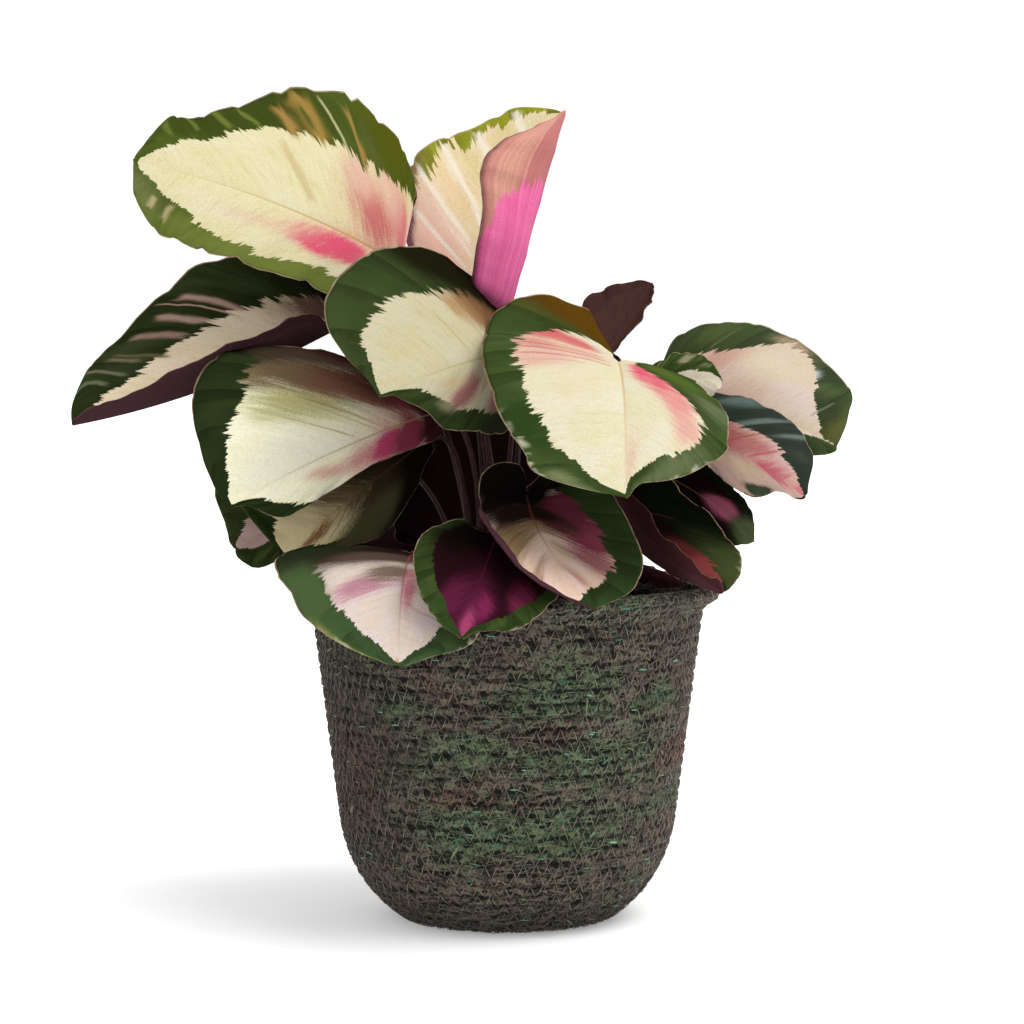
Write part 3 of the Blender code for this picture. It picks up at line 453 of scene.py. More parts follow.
PAINT = {
    "high_left": dict(
        left=(75, 72, 68, 73, 78, 42, 0), right=(110, 75, 54, 60, 68, 45, 0), green=(6.6, 9.2, 1.4),
        feather=((17, 17, 6), 35), rib=(42, 24, 7),
        patches=(
            (36, 20, 11, 26, ROSE, 95), (22, 30, 10, 30, (52, 15, 15), 100), (7, 45, 9, 40, BLUSH, 100),
            (30, 45, 8, 22, BLUSH, 80), (47, -22, 11, 26, (58, 22, 20), 100),
            (50, -40, 6, 15, HOT_PINK, 100, 10), (43, -27, 8, 18, HOT_PINK, 140, 10),
            (35, -40, 6, 18, HOT_PINK, 110, 10), (25, -25, 14, 30, BLUSH, 80),
            (42, 42, 5, 16, BLUSH, 80), (62, -35, 12, 12, BLUSH, 50)),
        band_patches=(
            (30, 90, 12, 40, (7, 8, 0.6), 100), (68, 85, 28, 35, (4, 5.6, 0.9), 110),
            (6, 100, 5, 28, (17, 5, 8.5), 140), (95, -60, 12, 50, (13, 15, 5), 80),
            (55, -85, 35, 30, (13.5, 16.5, 3.4), 100)),
        strokes=(
            (57.7, 60, 88, 1.3, TAN, 100), (52.8, 58, 95, 2.4, (27, 17, 4), 100),
            (53.8, 66, 84, 0.7, (6, 8, 1.2), 90), (47, 50, 98, 0.4, (40, 38, 20), 90),
            (41.2, 50, 88, 0.9, TAN, 90), (57, 10, 55, 1, (40, 27, 10), 45),
            (65, 70, 98, 0.6, OLIVE, 90), (88.5, -75, -50, 1.2, STRAW, 80), (83, -80, -52, 1, STRAW, 70),
            (71, 72, 100, 0.8, OLIVE, 90), (78, 72, 100, 0.8, OLIVE, 80), (86, 60, 95, 1, OLIVE, 70))),
    "high_back": dict(
        left=(130, 130, 98, 84, 86, 80, 75), right=(130, 130, 120, 100, 40, 20, 10),
        green=(23, 24.5, 1.4), cream=(80, 66, 41), feather=((36, 38, 10), 40), teeth=2.2, glow=0.15,
        rib=(85, 70, 52), lines=(7, 1), tip=2, sweep=0, flap=True, shine=0.1,
        patches=(
            (30, -50, 22, 70, (85, 52, 42), 100), (60, -35, 10, 25, (72, 56, 30), 80),
            (84, -40, 12, 50, (74, 62, 33), 90), (44, -50, 4, 50, (80, 55, 42), 80),
            (57, -55, 4, 40, (78, 60, 36), 80), (70, -50, 4, 40, (72, 60, 30), 80)),
        strokes=tuple((at, -93, -6, 1.3, (90, 83, 72), 75) for at in (38, 50.5, 63, 76, 88)),
        under=((60, 27, 20), (66, 33, 24.5)), shades=((28, -100, 20, 14, (20, 7, 10), 180, 0),)),
    "low_left": dict(
        right=(50, 48, 44, 46, 45, 30, 0), left=(120,) * 7, green=(2.1, 3, 0.9), cream=(68, 58, 40),
        feather=((7, 9, 4), 35), under=((3.6, 1.6, 1.9), (5.5, 2.5, 3)), sweep=0.26,
        patches=((25, 30, 16, 30, (15, 8.5, 6.5), 110),), shades=((15, 75, 22, 45, (1, 0.9, 0.5), 120),),
        strokes=(
            (55.2, 46, 86, 1, (42, 27, 22), 90), (58.3, 45, 92, 0.3, (40, 27, 21), 90),
            (61.8, 48, 82, 1, (42, 28, 22), 90), (67.4, 46, 86, 1, (30, 20, 15), 90),
            (72.5, 40, 80, 0.6, (12, 10, 5), 80), (76.7, 53, 85, 0.8, (16, 13, 8), 80),
            (83, 47, 95, 0.8, (15, 15, 9), 80), (88.1, 45, 95, 1, (13, 14, 8), 80))),
    "mid_left_top": dict(
        left=(100, 85, 75, 72, 60, 28, 0), right=(60, 60, 56, 55, 62, 56, 5), green=(3, 4.6, 1.4),
        cream=(47, 42.5, 26), feather=(GREEN, 40), rib=(34, 27, 10),
        # the dark brown patch near the base (at t 17) is painted shade; the rest are the leaf's own colours
        patches=(
            (36, 40, 10, 20, (27, 15, 6.5), 130), (17, 40, 16, 40, (17, 8.5, 3.8), 230),
            (57, -46, 5, 26, (30, 13, 12), 140), (38, -50, 5, 22, (34, 11, 14), 130),
            (15, -30, 12, 50, (40, 22, 18), 100), (48, 42, 3, 15, (34, 21, 9), 80),
            (62, -30, 8, 15, (46, 36, 20), 60)),
        # both shades are painted shade, and the one band patch is a painted highlight on the curled lower
        # edge
        shades=((31, 86, 20, 32, (0.9, 0.8, 0.3), 170), (30, -85, 20, 30, (2, 2.2, 1.2), 90)),
        band_patches=((62, -66, 5, 14, (18, 17, 10), 100),),
        strokes=(
            (56, 5, 40, 0.6, (40, 32, 14), 60), (44, 5, 45, 0.6, (40, 27, 13), 60),
            (47, -50, -5, 0.7, (36, 22, 14), 60))),
    "front_right": dict(
        left=(45, 30, 22, 62, 73, 30, 0), right=(0, 40, 73, 75, 72, 58, 3), green=(3.8, 6.2, 1.6),
        cream=(61, 56.5, 37), rib=(50, 29, 15), feather=(PALE_GREEN, 25), pale_edge=0.7, sweep=0.08,
        patches=(
            (26, 62, 3.5, 28, (52, 10, 11), 130), (24, 36, 4, 20, (52, 13, 13), 110),
            (36, 60, 8, 34, (54, 24, 20), 90), (46, 62, 6, 30, BLUSH, 90), (34, 30, 8, 24, BLUSH, 90),
            (37, -20, 11, 13, HOT_PINK, 100), (44, -36, 10, 16, (58, 13, 16), 100),
            (53, -52, 9, 16, (60, 25, 22), 100), (62, -62, 7, 16, (60, 32, 26), 90),
            (80, -12, 12, 14, (62, 42, 32), 70), (55, 35, 10, 30, (62, 52, 36), 50)),
        band_patches=(
            (5, 75, 12, 90, (8.5, 4, 0.4), 140), (30, -55, 12, 35, (7.5, 11.2, 2.2), 90),
            (47, -88, 5.5, 24, (10, 13, 6), 90), (34, -68, 5, 14, (5.5, 11, 1.6), 90),
            (95, 80, 5, 25, (16, 18, 8), 80), (76, -80, 12, 25, (10, 12.5, 5.5), 90),
            (72, 85, 12, 30, (2.2, 4.4, 1), 90)),
        strokes=(
            (42, 10, 72, 0.5, ROSE, 70), (38.5, 10, 75, 0.5, ROSE, 80), (34.5, 10, 75, 0.6, ROSE, 80),
            (46, 25, 75, 0.4, (56, 28, 24), 70), (41, -45, -5, 0.6, HOT_PINK, 70),
            (46, -60, -10, 0.5, HOT_PINK, 70), (51, -68, -15, 0.4, (60, 20, 20), 60))),
    "mid_left": dict(
        left=(130, 130, 125, 110, 92, 36, 0), right=(70, 80, 92, 90, 66, 48, 3), green=(1.6, 2.5, 0.8),
        cream=(76, 73, 49), feather=(GREEN, 40), rib=(32, 20, 8), sweep=0.25,
        # the four brown to near-black patches on the upper half (u from 34 to 96) are painted shadow cast by
        # the leaf above; the rest are the leaf's own colours
        patches=(
            (62, -45, 5, 30, BLUSH, 90, 20), (50, -60, 5, 35, BLUSH, 80, 30),
            (58, 42, 10, 24, (36, 34, 15), 100), (72, 10, 16, 30, (68, 66, 52), 90),
            (57, 80, 13, 24, (19, 14.5, 8), 120), (48, 58, 10, 28, (11, 7.5, 4), 130),
            (50, 96, 16, 16, (4.5, 3.2, 2), 180), (38, 34, 11, 26, (15, 6.5, 4.2), 140)),
        # the dark brown shades at the base and on the upper half are painted shade; the crimson and blush
        # ones below the midrib are the leaf's own colours
        shades=(
            (24, 30, 16, 45, (5.5, 2.2, 1.4), 150), (29, 95, 16, 30, (1.6, 1.2, 0.7), 150),
            (52, -55, 6, 60, (52, 25, 22), 80, 5), (43.5, -50, 6.6, 55, (44, 5.5, 13), 130, 5),
            (34, -50, 7, 60, (23, 3.6, 6), 180, 5), (18, -50, 9, 100, (4.5, 1, 1.3), 240, 5),
            (40, 88, 11, 25, (5, 3.2, 2.2), 130), (14, 30, 10, 80, (3, 0.8, 0.8), 180)),
        strokes=(
            (52, 3, 45, 0.5, (24, 16, 7), 60), (60, 3, 40, 0.4, (36, 26, 11), 60),
            (55, 3, 50, 0.4, (40, 30, 13), 50))),
    "lower_left": dict(
        left=(80, 80, 80, 85, 80, 55, 10), right=(60, 60, 60, 55, 50, 35, 0), green=DEEP_GREEN,
        cream=(58, 49, 26), rib=(11, 4, 2), feather=(GREEN, 30), sweep=0.2,
        patches=((78, -30, 6, 35, (20, 10, 5), 100), (62, 10, 10, 40, (16, 11, 5.5), 100)),
        # painted shade: all three darken the blade, most of all its right part, in the shade of the leaves
        # above
        shades=(
            (45, -20, 18, 90, (4, 2.6, 1.4), 160), (25, -30, 22, 120, (0.6, 0.4, 0.3), 190),
            (61, -70, 10, 35, (5.5, 5, 2.4), 150)),
        strokes=((70, -60, -5, 0.4, BROWN, 50), (60, 5, 50, 0.4, BROWN, 50))),
    "far_left_low": dict(
        left=(50, 50, 50, 55, 45, 35, 0), right=(30, 30, 30, 30, 30, 35, 20), green=(2.6, 3.8, 1.2),
        cream=(40, 28, 24), feather=(OLIVE, 30)),
    "drape_left": dict(
        left=(60, 60, 60, 62, 62, 46, 0), right=(60, 60, 62, 68, 66, 42, 0), green=(4, 7.2, 2.6),
        cream=(63, 53, 44), rib=(30, 6, 8), feather=(OLIVE, 20), pale_edge=0.5, sweep=0.15,
        patches=(
            (62, 34, 5, 40, (42, 20, 24), 90), (54, 10, 5, 24, (17, 12, 9), 110),
            (62, -7, 11, 9, (46, 16, 20), 90), (58, -30, 7, 25, (40, 20, 20), 90),
            (95, 5, 5, 12, (46, 20, 10), 80)),
        band_patches=((74, 100, 22, 10, (22, 22, 5), 120), (62, 80, 10, 15, (5.5, 9.5, 2), 90)),
        # painted shadow from the leaves above: the near-black over the top, the dark green at the top left
        # and the brown below them; the green and mauve ones are the leaf's own colours
        shades=(
            (27, 0, 14, 110, (2, 0.8, 0.8), 260), (56, 98, 20, 26, (5.8, 9.6, 3.6), 160, 0),
            (34, 100, 14, 60, (2, 2.6, 1.2), 160, 0), (42, 15, 5, 45, (8.5, 5.5, 4.2), 130),
            (43, -50, 7, 50, (10, 4, 4.5), 130)),
        strokes=((66, 15, 60, 0.5, (44, 20, 24), 60), (72, -50, -3, 0.5, (50, 30, 26), 50))),
    "drape_mid": dict(
        left=(80, 85, 85, 85, 70, 38, 0), right=(70, 72, 75, 74, 66, 40, 0), green=(2.6, 4.6, 1.2),
        cream=(1.6, 0.35, 0.6), rib=(9, 1, 3), teeth=0.5, feather=(OLIVE, 20), pale_edge=0.3,
        patches=(
            (80, 0, 20, 50, (7.5, 0.9, 3), 100), (87, -6, 10, 26, (29, 4.2, 11), 110),
            (74, -22, 6, 17, (16, 1.6, 6), 100), (63, -66, 8, 22, (13, 1.5, 4.5), 110),
            (72, 42, 9, 30, (8.5, 1, 3.2), 110), (100, 0, 3.5, 50, (56, 40, 22), 120)),
        # painted shade darkening the top of the blade, under the leaves above
        shades=((15, 20, 30, 70, (0.5, 0.25, 0.3), 150),)),
    "centre_low": dict(
        left=(40, 50, 54, 62, 66, 56, 0), right=(80, 85, 90, 130, 130, 120, 30), green=(2.8, 5, 1.5),
        cream=(72, 52, 39.5), rib=(15, 4.5, 2.5), feather=(GREEN, 20), sweep=0.15, lines=(5, 0.2),
        under=((5.5, 2.2, 2.8), (7.2, 2.8, 3.6)),
        patches=(
            (62, 25, 8.5, 45, (25, 17, 8.5), 130), (73, -15, 5, 16, (50, 40, 24), 80),
            (75, -50, 6, 32, (34, 14, 14), 110), (80, 30, 3, 30, (36, 20, 13), 80),
            (86, -20, 4, 20, (52, 27, 22), 80), (61, -58, 10, 30, (25, 5, 8), 160, 0),
            (43, -46, 11, 32, (15, 2.6, 5.2), 230, 0), (54, -20, 7, 24, (10, 3, 3), 180)),
        # painted shade: all five darken the upper part of the blade, in the shade of the leaves above
        shades=(
            (24, 0, 20, 90, (0.6, 0.3, 0.4), 260, 50), (20, 100, 24, 55, (0.6, 0.4, 0.4), 280, 0),
            (10, -65, 15, 55, (0.8, 0.6, 0.5), 260, 0), (32, 50, 19, 42, (0.6, 0.4, 0.4), 240, 0),
            (48, 5, 7, 35, (1.8, 0.9, 0.7), 150)),
        strokes=(
            (66, -50, -3, 0.5, (20, 5, 5), 70), (66, 10, 80, 0.6, (20, 8, 5), 70),
            (73, -50, -5, 0.5, (28, 10, 9), 60), (60, 10, 90, 0.5, (12, 6, 3), 60))),
    "right_low": dict(
        # painted shade: green and cream are near black, keeping the whole face dark
        left=(40, 40, 40, 45, 55, 55, 20), right=(50,) * 7, green=(0.5, 0.7, 0.3), cream=(0.8, 0.3, 0.3),
        feather=(MAROON, 10), under=((6.5, 2.2, 2.4), (8.5, 3.2, 3.4)),
        patches=((79, -42, 12, 28, (23, 4.5, 4.5), 160, 0), (65, -42, 6, 16, (10, 2, 1.8), 80)),
        band_patches=((84, -90, 22, 40, (4.8, 6, 2), 130),), pale_edge=0.3,
        strokes=((46, -60, 30, 0.6, (5, 1.4, 1.6), 70),)),
    "right_low_back": dict(
        left=(50, 50, 55, 62, 66, 40, 0), right=(50, 50, 55, 62, 66, 40, 0), green=(0.6, 0.8, 0.3),
        cream=(0.9, 0.3, 0.4), feather=(GREEN, 20), patches=((69, -12, 7, 34, (30, 7.5, 12), 180, 0),),
        shades=((90, 0, 12, 120, (6.2, 8.2, 3.6), 170, 0),)),
    "right_tip": dict(
        left=(30, 32, 30, 32, 46, 28, 0), right=(120, 120, 110, 105, 110, 110, 50), green=(1, 1.9, 1),
        cream=(50, 34, 26), feather=((4, 6, 4), 30), rib=(36, 11, 10), shine=0.07, sweep=0.15,
        patches=(
            (52, -5, 14, 35, (28, 8.5, 7.5), 120), (76, 10, 8, 35, (42, 10, 13), 100),
            (66, -20, 6, 22, (36, 12, 11), 90), (64, 35, 10, 25, (50, 38, 26), 80),
            (92, 0, 8, 40, (48, 15, 17), 110), (67, 86, 5, 14, (3.4, 5, 2.6), 180)),
        # these band patches are painted sheen: pale bluish streaks on the dark band
        band_patches=(
            (45, -85, 7, 25, (8.5, 12, 11), 90), (60, -68, 2, 40, (10, 14, 12), 90),
            (72, -85, 1.5, 30, (10, 13, 11), 90)),
        strokes=(
            (61, -45, -3, 0.6, (28, 6, 6), 80), (52, -40, 0, 0.5, (26, 7, 6), 70),
            (70, -40, 0, 0.6, (42, 8, 11), 80), (77, -5, 75, 0.8, (40, 7, 11), 80),
            (83, -20, 60, 0.6, (44, 10, 13), 70))),
    "right_far": dict(
        left=(30, 30, 40, 65, 90, 12, 0), right=(110, 110, 110, 95, 60, 10, 0), green=(3, 4.8, 1.4),
        cream=(55, 45, 34), feather=(PALE_GREEN, 25), rib=(46, 32, 18), shine=0.04, sweep=0.1,
        patches=(
            (44, -45, 9, 35, (48, 28, 22), 100), (55, -10, 12, 30, (52, 37, 29), 90),
            (60, -55, 12, 20, (58, 50, 34), 70)),
        band_patches=(
            (60, -92, 7, 10, (30, 22, 14), 90), (70, -72, 2, 12, (42, 44, 42), 110),
            (93, -30, 8, 60, (7.5, 8, 2), 90), (35, -85, 10, 30, (5.5, 8, 2.2), 80)),
        strokes=((40, -90, -50, 0.6, (8.5, 12.5, 5), 70), (80, -60, -20, 0.4, (15, 18, 13), 60))),
    "small_right": dict(
        left=(20, 20, 20, 22, 30, 30, 10), right=(120,) * 7, green=(3.6, 6, 1.4), cream=(56, 50, 36),
        feather=(STRAW, 30),
        strokes=(
            (40, -95, -30, 2, (22, 21, 10), 80), (60, -95, -60, 5, (30, 28, 17), 80),
            (30, -95, -10, 2, (20, 19, 9), 80))),
    "rim_low": dict(
        green=(2.2, 0.8, 1), cream=(4, 1.2, 1.6), feather=(MAROON, 20), left=(50,) * 7, right=(50,) * 7,
        under=((34, 15, 15), (3, 1, 1.3)), patches=((50, -45, 60, 12, (50, 24, 22), 140),)),
    "back_dark": dict(under=((5.6, 2.7, 2.3), (6.8, 3.2, 2.7)), green=(3, 4, 1.8)),
    # back_mid and back_low_left are near black on both faces: painted shade for the dark inside of the plant
    "back_mid": dict(
        green=(1.2, 1.6, 0.6), cream=(2, 0.8, 0.8), under=((0.9, 0.3, 0.4), (1.2, 0.4, 0.5))),
    "back_low_left": dict(
        green=(1.2, 1.6, 0.6), cream=(3, 1, 1.2), under=((1, 0.4, 0.5), (1.4, 0.5, 0.6))),
    "back_low_mid": dict(under=((1, 0.4, 0.5), (1.4, 0.5, 0.6))),
}


def shares(x):
    """Hundredths as shares of one, in tuples of any depth."""
    return tuple(shares(part) for part in x) if isinstance(x, tuple) else x / 100


def leaf_material(name, paint):
    """A blade's face and back, painted over its t and u, with layer 1 above and 0 below."""
    p = {**PLAIN, **paint}
    p.update((key, shares(p[key])) for key in IN_HUNDREDTHS)
    sweep, under, green, cream = p["sweep"], p["under"], p["green"], p["cream"]
    s = Shader(name, Specular_IOR_Level=p["shine"], Emission_Strength=p["glow"])
    t, u, layer = s.attribute("blade")
    v, right, top = abs(u), u > 0.0, layer > 0.5
    vein = t - v * sweep                    # the same all along one side vein
    along = vein + right * 3.7              # the two halves differ
    # the saw-toothed edge of the middle: broad tongues, teeth and fine teeth
    drift = s.noise(s.vector(along), 9.0)
    jags = (s.noise(s.vector(along, v * 0.02), 150.0, 1.0) - 0.5) * 0.07
    for number, drifting, size in ((6.3, 1.6, 0.07), (23.0, 5.0, 0.045), (64.0, 12.0, 0.035)):
        jags = jags + ((along * number + drift * drifting).fract() - 0.5) * size
    reach = s.curve(t, p["left"]) * (1.0 - right) + s.curve(t, p["right"]) * right
    reach = reach - s.smooth(t, p["tip"] - 0.04, p["tip"] + 0.005)
    edge = reach + jags * p["teeth"] - v
    middle = s.smooth(edge, -0.008, 0.008)
    strand = s.noise(s.vector(along * 60.0, v * 3.5), detail=3.0)
    thread = s.noise(s.vector(along * 170.0, v * 6.0))
    cloud = s.noise(s.vector(along * 5.0, u * 2.0, 5.0), 1.5, 3.0)
    grain = s.noise(s.place(), 1.5, 3.0, 0.7)

    def stained_and_shaded(colour, patches, streaks):
        """Soft stains and painted shade, drawn out along the fine side veins."""
        uneven = (strand - 0.5) * streaks + (thread - 0.5) * 0.7 + (grain - 0.5) * 0.9 + 1.0
        for at_t, at_u, length, width, overlay, strength, *lean in patches:
            lean = lean[0] if lean else -sweep
            off = (t + v * lean - (at_t + lean * abs(at_u))) / length
            far = off ** 2.0 + ((u - at_u) / width) ** 2.0
            colour = s.over(colour, overlay, (far * -1.0).exp() * strength * uneven, 0.06, 0.94)
        return colour

    def streaked(colour, other, *lines):
        """Broad and fine lines of another colour along the side veins, as (low, high, much)."""
        broader, finer = (s.smooth(noise, low, high) * much
                          for noise, (low, high, much) in zip((strand, thread), lines))
        return s.mix(broader + finer, colour, other)

    # the middle, with its fine side veins running outwards
    face = s.over(cream, scaled(cream, 1.04, 1.05, 1.25, most=0.85), cloud, 0.35, 0.7)
    face = streaked(face, scaled(cream, 0.84, 0.78, 0.58), (0.5, 0.8, 0.35), (0.48, 0.75, 0.4))
    number, strength = p["lines"]
    if strength:
        pale = abs((along * number + cloud * 0.5).fract() - 0.5)
        face = s.over(face, (0.90, 0.85, 0.76), pale, 0.20, 0.03, s.smooth(v, 1.0, 0.3) * strength)
    face = stained_and_shaded(face, p["patches"], 1.1)
    # the band
    outer = s.smooth(v, 0.35, 0.8)
    dim, lit = (scaled(green, factor, most=0.8) for factor in (0.62, 1.8))
    band = streaked(s.over(dim, green, cloud, 0.3, 0.72), lit, (0.50, 0.82, 0.3), (0.5, 0.8, 0.15))
    broad = s.noise(s.vector(along * 13.0, v * 0.9, 4.0), detail=1.0)
    colour, strength = p["feather"]
    band = s.over(band, colour, broad, 0.56, 0.72, s.smooth(v, 0.35, 0.7) * strength)
    # painted highlight and shade on the band's pleats: lighter up to each crest and darker just after it
    saw = (along * 9.0 + drift * 0.7).fract()
    band = s.mix(saw * outer * 0.40, band, lit)
    band = s.over(band, dim, saw, 0.30, 0.0, outer * 0.45)
    band = stained_and_shaded(band, p["band_patches"], 1.0)
    if p["pale_edge"]:
        frost = s.noise(s.vector(along * 30.0, v * 3.0, 8.0))
        rim = s.smooth(v + (frost - 0.5) * 0.30, 0.93, 1.02) * s.smooth(t, 0.62, 0.80)
        band = s.over(band, (0.60, 0.58, 0.42), frost, 0.45, 0.6, rim * p["pale_edge"])
    face = s.mix(middle, band, face)
    # strokes, with wandering sides and ragged ends
    wander, ragged = (cloud - 0.5) * 0.02, u + (strand - 0.5) * 0.25
    for at, low, high, thick, colour, strength in p["strokes"]:
        off = vein - (at - sweep * abs(high + low) / 2) + wander
        off = abs(off / ((0.6 + 0.8 * strand) * thick)) ** 3.0
        ends = s.smooth(ragged, low - 0.03, low + 0.06) * s.smooth(ragged, high + 0.03, high - 0.06)
        face = s.over(face, colour, thread, 0.05, 0.4, (off * -1.0).exp() * ends * strength)
    # painted shade and shadow over both, with some of the leaf's own colours among them
    face = stained_and_shaded(face, p["shades"], 0.35)
    # midrib, dark grain and the thin pale margin
    rib = s.smooth(t, 0.98, 0.35) * s.smooth(t, 0.10, 0.3)
    face = s.over(face, p["rib"], v, 0.016, 0.004, rib * 0.75)
    face = s.over(face, s.mix(0.55, face, (0.010, 0.012, 0.004)), grain, *MOTTLED, 0.35)
    spots = s.noise(s.vector(along * 24.0, u, 1.0))
    hem = s.over((0.44, 0.26, 0.17), (0.60, 0.52, 0.31), spots, 0.4, 0.62)
    face = s.over(face, hem, v, *MARGIN, 0.85)
    # the back of the blade
    back = s.over(under[0], under[1], edge, -0.04, 0.04)
    back = streaked(back, scaled(under[0], 0.6), (0.4, 0.8, 0.4), (0.5, 0.8, 0.15))
    if p["flap"]:                           # lines run up the flap, side by side with its fold
        w = v * 2.0 - 1.0
        hair = s.noise(s.vector(w * 22.0, t * 1.2))
        back = s.over((0.52, 0.235, 0.18), (0.62, 0.315, 0.235), hair, 0.35, 0.7)
        # painted shade: darker crimson at the flap's free edge and towards its fold
        dusk = s.smooth(w, 0.84, 1.0) * 0.6 + s.smooth(w + hair * 0.2, 0.74, 0.60) * 0.7
        back = s.mix(dusk, back, (0.40, 0.11, 0.12))
        height = 0.56 - w ** 3.5 * 0.28 + (hair - 0.5) * 0.22
        pink = s.over((0.70, 0.115, 0.30), (0.80, 0.17, 0.38), hair, 0.3, 0.7)
        back = s.over(back, pink, height - t, -0.012, 0.012)
        # painted shade over the magenta too: at the free edge near the foot and close to the fold
        dusk = s.smooth(w, 0.88, 1.0) * s.smooth(t, 0.45, 0.2) * 0.6 + s.smooth(w, 0.25, 0.0) * 0.4
        back = s.mix(dusk, back, (0.42, 0.05, 0.14))
    back = s.over(back, scaled(under[1], 2.0, most=0.8), v, 0.03, 0.0, 0.5)
    back = s.over(back, (0.012, 0.006, 0.006), grain, *MOTTLED, 0.25)
    back = s.over(back, (0.34, 0.19, 0.15), v, *MARGIN, 0.6)
    # painted glow: the face gives off its own colour as light, in place of light coming through the thinnest
    # blade
    if p["glow"]:                           # light comes through the thinnest blade
        s.set(Emission_Color=s.mix(top, (0.004, 0.003, 0.003), face))
    s.set(Base_Color=s.mix(top, back, face),
          Roughness=(1.0 - top) * 0.15 + 0.42 + cloud * 0.14 + middle * top * 0.06)
    ribs = (along * 57.0).sin() * 0.5 + strand * 0.4 + thread * 0.15
    s.bump(ribs * s.smooth(v, 0.0, 0.1), 0.3, 0.5)
    return s.material


def stalk_material():
    s = Shader("stalk_skin", Roughness=0.5, Specular_IOR_Level=0.15)
    k, _, _ = s.attribute("stem")
    streak = s.noise(s.place(2.2, 2.2, 0.25))
    fleck = s.noise(s.place(), 1.6, 3.0)
    skin = s.over((0.020, 0.005, 0.007), (0.060, 0.018, 0.020), streak, 0.35, 0.7)
    skin = s.over(skin, (0.09, 0.07, 0.035), fleck, 0.6, 0.72, 0.4)
    skin = s.over(skin, (0.055, 0.050, 0.022), k, 0.25, 0.0, 0.6)
    s.set(Base_Color=skin, Roughness=0.42 + fleck * 0.2)
    s.bump(streak, 0.25, 0.6)
    return s.material


# ---------------------------------------------------------------- meshes
def make_piece(name, verts, faces, slot, material, stands_for=(), **fields):
    """A closed mesh in millimetres that rides with the plant and stands for its CAD nodes."""
    mesh = bpy.data.meshes.new(name)
    mesh.from_pydata((np.asarray(verts, float) * MM).tolist(), [], faces)
    for field, values in fields.items():
        layer = mesh.attributes.new(field, "FLOAT_VECTOR", "POINT")
        layer.data.foreach_set("vector", np.asarray(values, np.float32).ravel())
    mesh.polygons.foreach_set("use_smooth", [True] * len(mesh.polygons))
    mesh.materials.append(material)
    piece = bpy.data.objects.new(name, mesh)
    bpy.context.scene.collection.objects.link(piece)
    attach(piece, "root")
    if stands_for:
        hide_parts(*stands_for)


def turns(sides):
    return np.linspace(0, 1, sides, endpoint=False)


def polar(radius, turn, z):
    """Points at a radius and a turn about Z (0 to 1), at a height."""
    angle = 2 * np.pi * turn
    return np.stack(np.broadcast_arrays(radius * np.cos(angle), radius * np.sin(angle), z), -1)


def closed_shell(rings, first, last):
    """Points and faces of a row of rings, with a point in the middle of either end."""
    rows, sides = rings.shape[:2]
    i, count = np.arange(sides), rows * sides
    after = (i + 1) % sides
    low = np.arange(rows - 1)[:, None] * sides
    quads = np.stack([low + i, low + after, low + sides + after, low + sides + i], -1)
    end = count - sides
    fans = np.stack([0 * i + count, after, i], -1), np.stack([0 * i + count + 1, end + i, end + after], -1)
    faces = quads.reshape(-1, 4).tolist() + fans[0].tolist() + fans[1].tolist()
    return np.vstack([rings.reshape(-1, 3), [first, last]]), faces


def tube(path, radius, sides, hint=(0.3, 0.9, 0.2), flat=1.0):
    """A closed tube along a path; flat is its depth as a share of its width."""
    path = np.asarray(path, float)
    way = unit(np.gradient(path, axis=0))
    side = unit(np.cross(way, np.array(hint)))
    lift = np.cross(side, way)
    angles = 2 * np.pi * turns(sides)[None, :, None]
    ring = np.cos(angles) * side[:, None] + flat * np.sin(angles) * lift[:, None]
    radius = np.broadcast_to(radius, len(path))[:, None, None]
    return closed_shell(path[:, None] + radius * ring, path[0], path[-1])


def join(parts):
    """Joins (points, faces, field) parts into one mesh's lists."""
    verts, faces, fields, first = [], [], [], 0
    for v, f, field in parts:
        verts.append(v)
        faces += [[i + first for i in face] for face in f]
        fields.append(np.broadcast_to(field, (len(v), 3)))
        first += len(v)
    return np.vstack(verts), faces, np.vstack(fields)


class Grain:
    """Smooth seeded unevenness over a grid that closes on itself in its first direction."""

    def __init__(self, around, across, seed):
        self.table = np.random.default_rng(seed).uniform(-1, 1, (around, across))

    def __call__(self, a, b):
        """a in turns, b in cells; both arrays of one shape."""
        around, across = self.table.shape
        x, y = (a % 1.0) * around, np.abs(b) % (across - 1)
        i, j = np.floor(x).astype(int), np.floor(y).astype(int)
        f, g = x - i, y - j
        f, g = f * f * (3 - 2 * f), g * g * (3 - 2 * g)
        i, k = i % around, (i + 1) % around
        low = self.table[i, j] * (1 - f) + self.table[k, j] * f
        high = self.table[i, j + 1] * (1 - f) + self.table[k, j + 1] * f
        return low * (1 - g) + high * g


# ---------------------------------------------------------------- leaves and stalks
EDGE_THICK, MIDDLE_THICK = 0.16, 0.12       # half the blade at its margin, and how much more inside
RIB_SUNK, RIB_PROUD, RIB_WIDE = 0.55, 1.15, 1.5     # the midrib above, below and across
STEM, SHEATH, KNEE, HEEL = 1.15, 0.85, 0.42, 0.35   # a stalk's radius and what swells it


